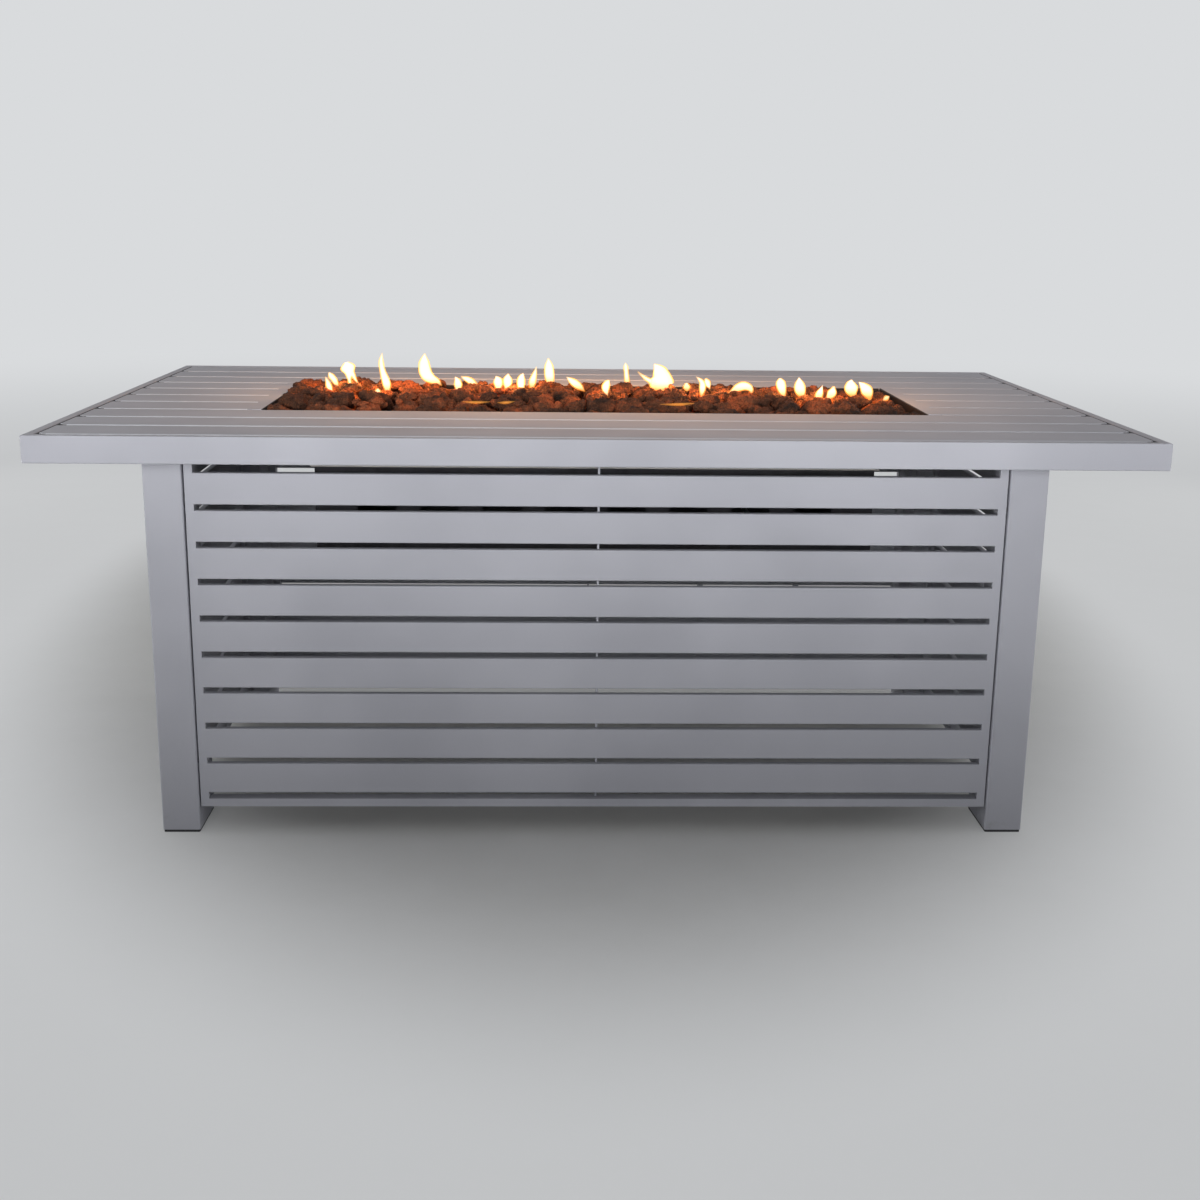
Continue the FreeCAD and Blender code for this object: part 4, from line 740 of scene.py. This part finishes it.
rocks = {"masters": 11, "seed": 31, "voxel": 0.105, "pebbles": 3, "pebbleSeed": 40, "pebbleVoxel": 0.2,
         "cuts": 15, "cutSlope": 0.95, "cutNear": 0.66, "cutFar": 0.9,
         "longest": 1.5, "narrowest": 0.8, "flattest": 0.48, "tallest": 0.75,
         "columns": 23, "rows": 8, "scatter": 0.3, "smallest": 0.016, "largest": 0.031,
         "sunk": 0.009, "sunkAtEnds": 0.25, "spin": 6.28, "tilt": 0.6, "roll": 0.5,
         "fillers": 140, "fillerEdge": 0.01, "fillerSmallest": 0.007, "fillerLargest": 0.012,
         "fillerHigh": 0.002, "fillerSunk": 0.01}
# Each dent: texture, scale, strength, and where in the texture it is read
dents = (("CLOUDS", 0.6, 0.42, 0), ("VORONOI", 0.34, 0.26, 5), ("CLOUDS", 0.17, 0.2, 9))
dentStep = 3.1  # so that no two lumps read the same part of a texture
# How far the heap stands over the top, and how fast it falls away at its edges
heap = {"middleRise": 0.0215, "middleFall": 0.25, "rearLeftRise": 0.015, "rearRightRise": 0.002,
        "frontRise": 0.006, "endRise": 0.002, "steep": 1.7, "leftShare": 0.6, "leftSteep": 10,
        "rightSteep": 9}
# How far the painted firelight of a flame reaches over the lava near its foot
glow = {"reach": 0.04, "drop": 1.2, "least": 0.5, "perHeight": 12}


# A ball is cut by random planes, squashed, evened out and dented
def makeRock(index, voxel):
    startFresh()
    bpy.ops.mesh.primitive_ico_sphere_add(subdivisions=4, radius=1)
    piece = bpy.context.active_object
    chance = random.Random(rocks["seed"] + index)
    bpy.ops.object.mode_set(mode="EDIT")
    for cut in range(rocks["cuts"]):
        turn = chance.uniform(0, 2 * math.pi)
        rise = chance.uniform(-rocks["cutSlope"], rocks["cutSlope"])
        reach = math.sqrt(1 - rise * rise)
        direction = Vector((reach * math.cos(turn), reach * math.sin(turn), rise))
        bpy.ops.mesh.select_all(action="SELECT")
        bpy.ops.mesh.bisect(plane_co=direction * chance.uniform(rocks["cutNear"], rocks["cutFar"]),
                            plane_no=direction, use_fill=True, clear_outer=True)
    bpy.ops.mesh.select_all(action="SELECT")
    bpy.ops.transform.resize(value=(chance.uniform(1.0, rocks["longest"]),
                                    chance.uniform(rocks["narrowest"], 1.0),
                                    chance.uniform(rocks["flattest"], rocks["tallest"])))
    bpy.ops.object.mode_set(mode="OBJECT")
    applyModifier(piece, "REMESH", mode="VOXEL", voxel_size=voxel)
    applyModifier(piece, "SMOOTH", iterations=1)
    for kind, scale, strength, row in dents:
        texture = bpy.data.textures.new("dent", kind)
        texture.noise_scale = scale
        piece.location = (index * dentStep, row, 0)
        applyModifier(piece, "DISPLACE", texture=texture, strength=strength, texture_coords="GLOBAL")
    piece.location = (0, 0, 0)
    return piece


# The painted firelight is strongest at the foot of a flame, and more so under a tall one
def firelightAt(spot):
    heat = 0.0
    for foot, tall in flameFeet:
        away = Vector((spot.x - foot.x, spot.y - foot.y, (spot.z - foot.z) * glow["drop"])).length
        heat += (glow["least"] + tall * glow["perHeight"]) * math.exp(-(away / glow["reach"]) ** 2)
    return min(heat, 1.0)


def holdFirelight(piece, share=1.0):
    heat = piece.data.attributes.new("heat", "FLOAT", "POINT")
    heat.data.foreach_set("value", [share * firelightAt(vertex.co) for vertex in piece.data.vertices])


# A copy is turned and sized, then moved into the bed, with its highest point at the bed's top
def placeRock(master, centre, size, turn, bed):
    piece = master.copy()
    piece.data = master.data.copy()
    bpy.context.scene.collection.objects.link(piece)
    low, high, top = bed
    place = Matrix.Translation(centre) @ turn.to_4x4() @ Matrix.Scale(size, 4)
    piece.data.transform(place)
    spots = [vertex.co for vertex in piece.data.vertices]
    shift = Vector((max(0, low.x - min(s.x for s in spots)) - max(0, max(s.x for s in spots) - high.x),
                    max(0, low.y - min(s.y for s in spots)) - max(0, max(s.y for s in spots) - high.y),
                    top - max(s.z for s in spots)))
    for spot in spots:
        spot += shift
    return piece


# How far the heap stands over the top: share runs from its left end to its right, back from -1 to 1
def heapRise(share, back):
    rear = heap["rearLeftRise"] + (heap["rearRightRise"] - heap["rearLeftRise"]) * share
    edge = rear if back > 0 else heap["frontRise"]
    inner = min(1.0, (1 - abs(back)) * heap["steep"])
    rise = edge + (heap["middleRise"] * (1.0 - heap["middleFall"] * share) - edge) * inner
    fromLeft = min(1.0, heap["leftShare"] + share * heap["leftSteep"])
    fromRight = min(1.0, (1 - share) * heap["rightSteep"])
    return rise * fromLeft * fromRight + heap["endRise"] * (1 - fromRight)


def heapRocks():
    chance = random.Random(rocks["seed"])
    masters = [makeRock(index, rocks["voxel"]) for index in range(rocks["masters"])]
    pebbles = [makeRock(index + rocks["pebbleSeed"], rocks["pebbleVoxel"])
               for index in range(rocks["pebbles"])]
    low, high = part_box("lava_gravel")
    thirds = {"front": [], "middle": [], "back": []}
    words = list(thirds)
    stepX = (high.x - low.x) / rocks["columns"]
    stepY = (high.y - low.y) / rocks["rows"]
    scatter = rocks["scatter"]

    def randomTurn():
        spin = Matrix.Rotation(chance.uniform(0, rocks["spin"]), 3, "Z")
        tilt = Matrix.Rotation(chance.uniform(-rocks["tilt"], rocks["tilt"]), 3, "X")
        return spin @ tilt @ Matrix.Rotation(chance.uniform(-rocks["roll"], rocks["roll"]), 3, "Y")

    def riseOver(centre):
        return heapRise((centre.x - low.x) / (high.x - low.x), centre.y / high.y)

    for column in range(rocks["columns"]):
        sunk = rocks["sunk"] * (rocks["sunkAtEnds"] if column in (0, rocks["columns"] - 1) else 1.0)
        for row in range(rocks["rows"]):
            size = chance.uniform(rocks["smallest"], rocks["largest"])
            centre = Vector((low.x + (column + 0.5 + chance.uniform(-scatter, scatter)) * stepX,
                             low.y + (row + 0.5 + chance.uniform(-scatter, scatter)) * stepY,
                             topLevel - size))
            top = topLevel + riseOver(centre) - chance.uniform(0, sunk)
            piece = placeRock(chance.choice(masters), centre, size, randomTurn(), (low, high, top))
            thirds[words[row * 3 // rocks["rows"]]].append(piece)
    edge = rocks["fillerEdge"]
    for filler in range(rocks["fillers"]):
        centre = Vector((chance.uniform(low.x + edge, high.x - edge),
                         chance.uniform(low.y + edge, high.y - edge), topLevel))
        size = chance.uniform(rocks["fillerSmallest"], rocks["fillerLargest"])
        top = topLevel + riseOver(centre) - chance.uniform(rocks["fillerHigh"], rocks["fillerSunk"])
        piece = placeRock(chance.choice(pebbles), centre, size, randomTurn(), (low, high, top))
        thirds[words[int((centre.y - low.y) / (high.y - low.y) * 3)]].append(piece)
    for master in masters + pebbles:
        bpy.data.objects.remove(master)
    for word, lumps in thirds.items():
        piece = joinAll(lumps, "lava_rocks_" + word)
        # the rocks hold the painted firelight for their emission
        holdFirelight(piece)
        pickOnly(piece)
        bpy.ops.object.shade_smooth()
        dress(piece, lavaFinish)
        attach(piece, "root")
        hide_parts("lava_rocks")
        print("rocks", word, len(lumps), "lumps,", len(piece.data.polygons), "faces")


heapRocks()


# Gravel bed under the rocks: a slab with a rough top

gravel = {"columns": 150, "rows": 56, "sunk": 0.004, "stone": 0.011, "depth": 0.008, "sideFrom": 0.012,
          "firelightShare": 0.6}


def spreadGravel():
    low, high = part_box("lava_gravel")
    startFresh()
    bpy.ops.mesh.primitive_grid_add(x_subdivisions=gravel["columns"], y_subdivisions=gravel["rows"],
                                    size=1)
    piece = bpy.context.active_object
    bpy.ops.transform.resize(value=(high.x - low.x, high.y - low.y, 1))
    applyPlace(piece)
    for vertex in piece.data.vertices:
        vertex.co.z = high.z - gravel["sunk"]
    texture = bpy.data.textures.new("gravel", "VORONOI")
    texture.noise_scale = gravel["stone"]
    applyModifier(piece, "DISPLACE", texture=texture, direction="Z", strength=-gravel["depth"])
    bpy.ops.object.mode_set(mode="EDIT")
    bpy.ops.mesh.select_all(action="SELECT")
    bpy.ops.mesh.extrude_region_move(
        TRANSFORM_OT_translate={"value": (0, 0, low.z - high.z + gravel["sunk"])})
    bpy.ops.mesh.select_all(action="SELECT")  # the extrusion leaves only the moved sheet selected
    bpy.ops.mesh.normals_make_consistent(inside=False)
    bpy.ops.object.mode_set(mode="OBJECT")
    for vertex in piece.data.vertices:
        if vertex.co.z < high.z - gravel["sideFrom"]:
            vertex.co.z = low.z
    piece.name = "gravel_bed"
    # the gravel holds a share of the painted firelight
    holdFirelight(piece, gravel["firelightShare"])
    bpy.ops.object.shade_smooth()
    dress(piece, lavaFinish)
    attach(piece, "root")
    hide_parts("lava_gravel")
    print("gravel spread")


spreadGravel()


# Burning gas, which is light and not a piece of the table: it is staged like the floor

fire = {"edge": 0.0019, "thinnest": 0.0004, "voxel": 0.0008, "smoothing": 3,
        "pathSteps": 8, "roundSteps": 4, "clearFrom": 0.004, "clearTo": 0.022,
        "edgeFoot": (130.0, 48.0, 6.0), "edgeTop": (205.0, 128.0, 36.0), "edgeDust": 260.0,
        "edgeTint": (0.95, 0.6, 0.2, 1), "coreFoot": (260.0, 170.0, 60.0),
        "coreTop": (560.0, 600.0, 740.0), "coreDust": 340.0, "coreTint": (0.3, 0.2, 0.05, 1),
        "glowRise": 0.3, "glowSize": (0.75, 0.25), "glowPower": 1.5, "glowColour": (1.0, 0.42, 0.11)}
# One small lamp in each flame, weaker near the opening's edges
flameLamp = {"power": 0.22, "least": 0.4, "perHeight": 16, "colour": (1.0, 0.45, 0.13), "size": 0.008,
             "rise": 0.016, "riseShare": 0.3, "fullX": 0.4, "fullY": 0.1, "fadeX": 0.1, "fadeY": 0.05,
             "fade": 4}


def gasGlow(name, foot, top, dust, dustTint):
    finish = Finish(name)
    strength = max(top)
    rise = finish.axis("Z").between(topLevel + fire["clearFrom"], topLevel + fire["clearTo"])
    footColour, topColour = [(*[part / strength for part in light], 1) for light in (foot, top)]
    shade = finish.blend(rise, footColour, topColour)
    shine = finish.node("ShaderNodeEmission", None, {"Color": shade, "Strength": strength})
    haze = finish.node("ShaderNodeVolumeAbsorption", None, {"Color": dustTint, "Density": dust})
    return finish.show(finish.node("ShaderNodeAddShader", None, {0: shine, 1: haze}), "Volume")


def shapeFlames(name, edge):
    startFresh()
    paths = bpy.data.curves.new(name, "CURVE")
    paths.dimensions = "3D"
    paths.resolution_u = fire["pathSteps"]
    paths.bevel_depth = 1.0
    paths.bevel_resolution = fire["roundSteps"]
    paths.use_fill_caps = True
    for flame in flames:
        steps = flameSteps(flame)
        path = paths.splines.new("BEZIER")
        path.bezier_points.add(len(steps) - 1)
        path.radius_interpolation = "CARDINAL"
        for point, (place, width) in zip(path.bezier_points, steps):
            point.co = place
            point.radius = max(width / 2 - edge, fire["thinnest"])
            point.handle_left_type = point.handle_right_type = "AUTO"
    piece = bpy.data.objects.new(name, paths)
    bpy.context.scene.collection.objects.link(piece)
    pickOnly(piece)
    bpy.ops.object.convert(target="MESH")
    applyModifier(piece, "REMESH", mode="VOXEL", voxel_size=fire["voxel"])
    applyModifier(piece, "SMOOTH", iterations=fire["smoothing"])
    piece.visible_diffuse = False
    piece.visible_shadow = False
    print(name, len(piece.data.polygons), "faces")
    return piece


def lightFlames():
    dress(shapeFlames("flame_edges", 0.0), gasGlow(
        "flame_edge", fire["edgeFoot"], fire["edgeTop"], fire["edgeDust"], fire["edgeTint"]))
    dress(shapeFlames("flame_cores", fire["edge"]), gasGlow(
        "flame_core", fire["coreFoot"], fire["coreTop"], fire["coreDust"], fire["coreTint"]))
    for number, (foot, tall) in enumerate(flameFeet):
        lamp = bpy.data.lights.new("flame_lamp_%02d" % number, "POINT")
        outside = max(abs(foot.x) - flameLamp["fullX"], 0) / flameLamp["fadeX"]
        outside += max(abs(foot.y) - flameLamp["fullY"], 0) / flameLamp["fadeY"]
        power = flameLamp["power"] * (flameLamp["least"] + tall * flameLamp["perHeight"])
        lamp.energy = power / (1 + flameLamp["fade"] * outside)
        lamp.color = flameLamp["colour"]
        lamp.shadow_soft_size = flameLamp["size"]
        holder = bpy.data.objects.new(lamp.name, lamp)
        holder.location = foot + Vector((0, 0, flameLamp["rise"] + tall * flameLamp["riseShare"]))
        holder.visible_glossy = False
        bpy.context.scene.collection.objects.link(holder)
    print("flames lit")


lightFlames()


# Floor, world, lamps and camera

studio = {"floor": "E6E6E3", "mottle": "DCDCD8", "mottleScale": 6, "floorRadius": 30, "floorRough": 0.8,
          "floorShine": 0.15, "sky": "D9DBDD", "fill": "F0F1F5", "fillStrength": 0.25,
          "floorNear": 2.6, "floorFar": 8.0, "paleCentre": (0, 1.3, 0), "paleFrom": 0.9, "paleTo": 1.3,
          "paleDepth": 1.9, "paleShare": 0.66,
          "keyPlace": (-0.3, -2.9, 0.95), "keyAim": (-0.05, -0.47, 0.92), "keySize": (2.8, 0.5),
          "keyPower": 10.5, "keySpread": 44,
          "topPlace": (-0.5, 0.2, 3.2), "topAim": (0, 0, 0.5), "topSize": (3.0, 2.2), "topPower": 5.5,
          "rimSpots": ((2.7, 2.3, 0.95), (-2.5, 2.5, 0.95)), "rimAim": (0, 0, 0.4),
          "rimSize": (1.8, 0.9), "rimPower": 6,
          "sideSpots": ((0.0, 4.4, 0.42), (4.2, 0.0, 0.42), (-4.2, 0.0, 0.42)),
          "sidePowers": (2.2, 1.8, 1.8), "sideAim": (0, 0, 0.34), "sideSize": (2.2, 0.3),
          "sideSpread": 30}
view = {"place": Vector((-0.0625, -2.5151, 0.9029)), "yaw": 0.0301, "pitch": 0.2451, "roll": 0.0117,
        "lens": 46.67, "sensor": 36.0}


# To the eye alone, the floor fades to the sky's colour: all of it far off, and part of it outside
# an oval round the table
def layFloor():
    startFresh()
    bpy.ops.mesh.primitive_circle_add(vertices=96, radius=studio["floorRadius"], fill_type="NGON")
    floor = bpy.context.active_object
    floor.name = "studio_floor"
    finish = Finish("studio_floor")
    spot = finish.spot()
    mottle = finish.noise(studio["mottleScale"], 4, 0.6)
    colour = finish.blend(mottle, tint(studio["floor"]), tint(studio["mottle"]))
    paint = finish.node("ShaderNodeBsdfPrincipled", None, {
        "Base Color": colour, "Roughness": studio["floorRough"],
        "Specular IOR Level": studio["floorShine"]})
    haze = finish.node("ShaderNodeEmission", None, {"Color": tint(studio["sky"])})
    away = finish.vectors("LENGTH", spot, output="Value")
    far = away.between(studio["floorNear"], studio["floorFar"])
    centred = finish.vectors("SUBTRACT", spot, studio["paleCentre"])
    squeezed = finish.vectors("MULTIPLY", centred, (1, 1 / studio["paleDepth"], 1))
    around = finish.vectors("LENGTH", squeezed, output="Value")
    pale = around.between(studio["paleFrom"], studio["paleTo"]) * studio["paleShare"]
    fade = (far + pale * (1 - far)) * finish.eyeRays()
    dress(floor, finish.show(finish.node("ShaderNodeMixShader", None, {0: fade, 1: paint, 2: haze})))


def softbox(name, place, aim, size, power, spread=None, colour=None):
    lamp = bpy.data.lights.new(name, "AREA")
    if colour is not None:
        lamp.color = colour
    lamp.shape = "RECTANGLE"
    lamp.size, lamp.size_y = size
    lamp.energy = power
    if spread is not None:
        lamp.spread = math.radians(spread)
    holder = bpy.data.objects.new(name, lamp)
    holder.location = place
    holder.rotation_euler = (Vector(aim) - Vector(place)).to_track_quat("-Z", "Y").to_euler()
    bpy.context.scene.collection.objects.link(holder)
    return holder


def lightStudio():
    softbox("key", studio["keyPlace"], studio["keyAim"], studio["keySize"], studio["keyPower"],
            studio["keySpread"])
    softbox("top", studio["topPlace"], studio["topAim"], studio["topSize"], studio["topPower"])
    for number, spot in enumerate(studio["rimSpots"]):
        softbox("rim_%d" % number, spot, studio["rimAim"], studio["rimSize"], studio["rimPower"])
    for number, (spot, power) in enumerate(zip(studio["sideSpots"], studio["sidePowers"])):
        lamp = softbox("side_%d" % number, spot, studio["sideAim"], studio["sideSize"], power,
                       studio["sideSpread"])
        lamp.visible_camera = False
    above = softbox("fire_glow", (0, 0, topLevel + fire["glowRise"]), (0, 0, topLevel), fire["glowSize"],
                    fire["glowPower"], colour=fire["glowColour"])
    above.visible_glossy = False
    above.visible_camera = False


def hangSky():
    world = Finish("studio", world=True)
    fill = world.node("ShaderNodeBackground", None, {
        "Color": tint(studio["fill"]), "Strength": studio["fillStrength"]})
    sky = world.node("ShaderNodeBackground", None, {"Color": tint(studio["sky"])})
    bpy.context.scene.world = world.show(world.node("ShaderNodeMixShader", None, {
        0: world.eyeRays(), 1: fill, 2: sky}))


def aimCamera():
    yaw, pitch, roll = view["yaw"], view["pitch"], view["roll"]
    ahead = Vector((math.sin(yaw) * math.cos(pitch), math.cos(yaw) * math.cos(pitch), -math.sin(pitch)))
    level = Vector((math.cos(yaw), -math.sin(yaw), 0))
    above = level.cross(ahead)
    right = level * math.cos(roll) + above * math.sin(roll)
    up = above * math.cos(roll) - level * math.sin(roll)
    lens = bpy.data.cameras.new("photo_view")
    lens.sensor_width = view["sensor"]
    lens.lens = view["lens"]
    holder = bpy.data.objects.new("photo_view", lens)
    turn = Matrix((right, up, -ahead)).transposed().to_4x4()
    holder.matrix_world = Matrix.Translation(view["place"]) @ turn
    bpy.context.scene.collection.objects.link(holder)
    bpy.context.scene.camera = holder


layFloor()
lightStudio()
hangSky()
aimCamera()
bpy.context.scene.view_settings.view_transform = "Standard"
print("studio set")
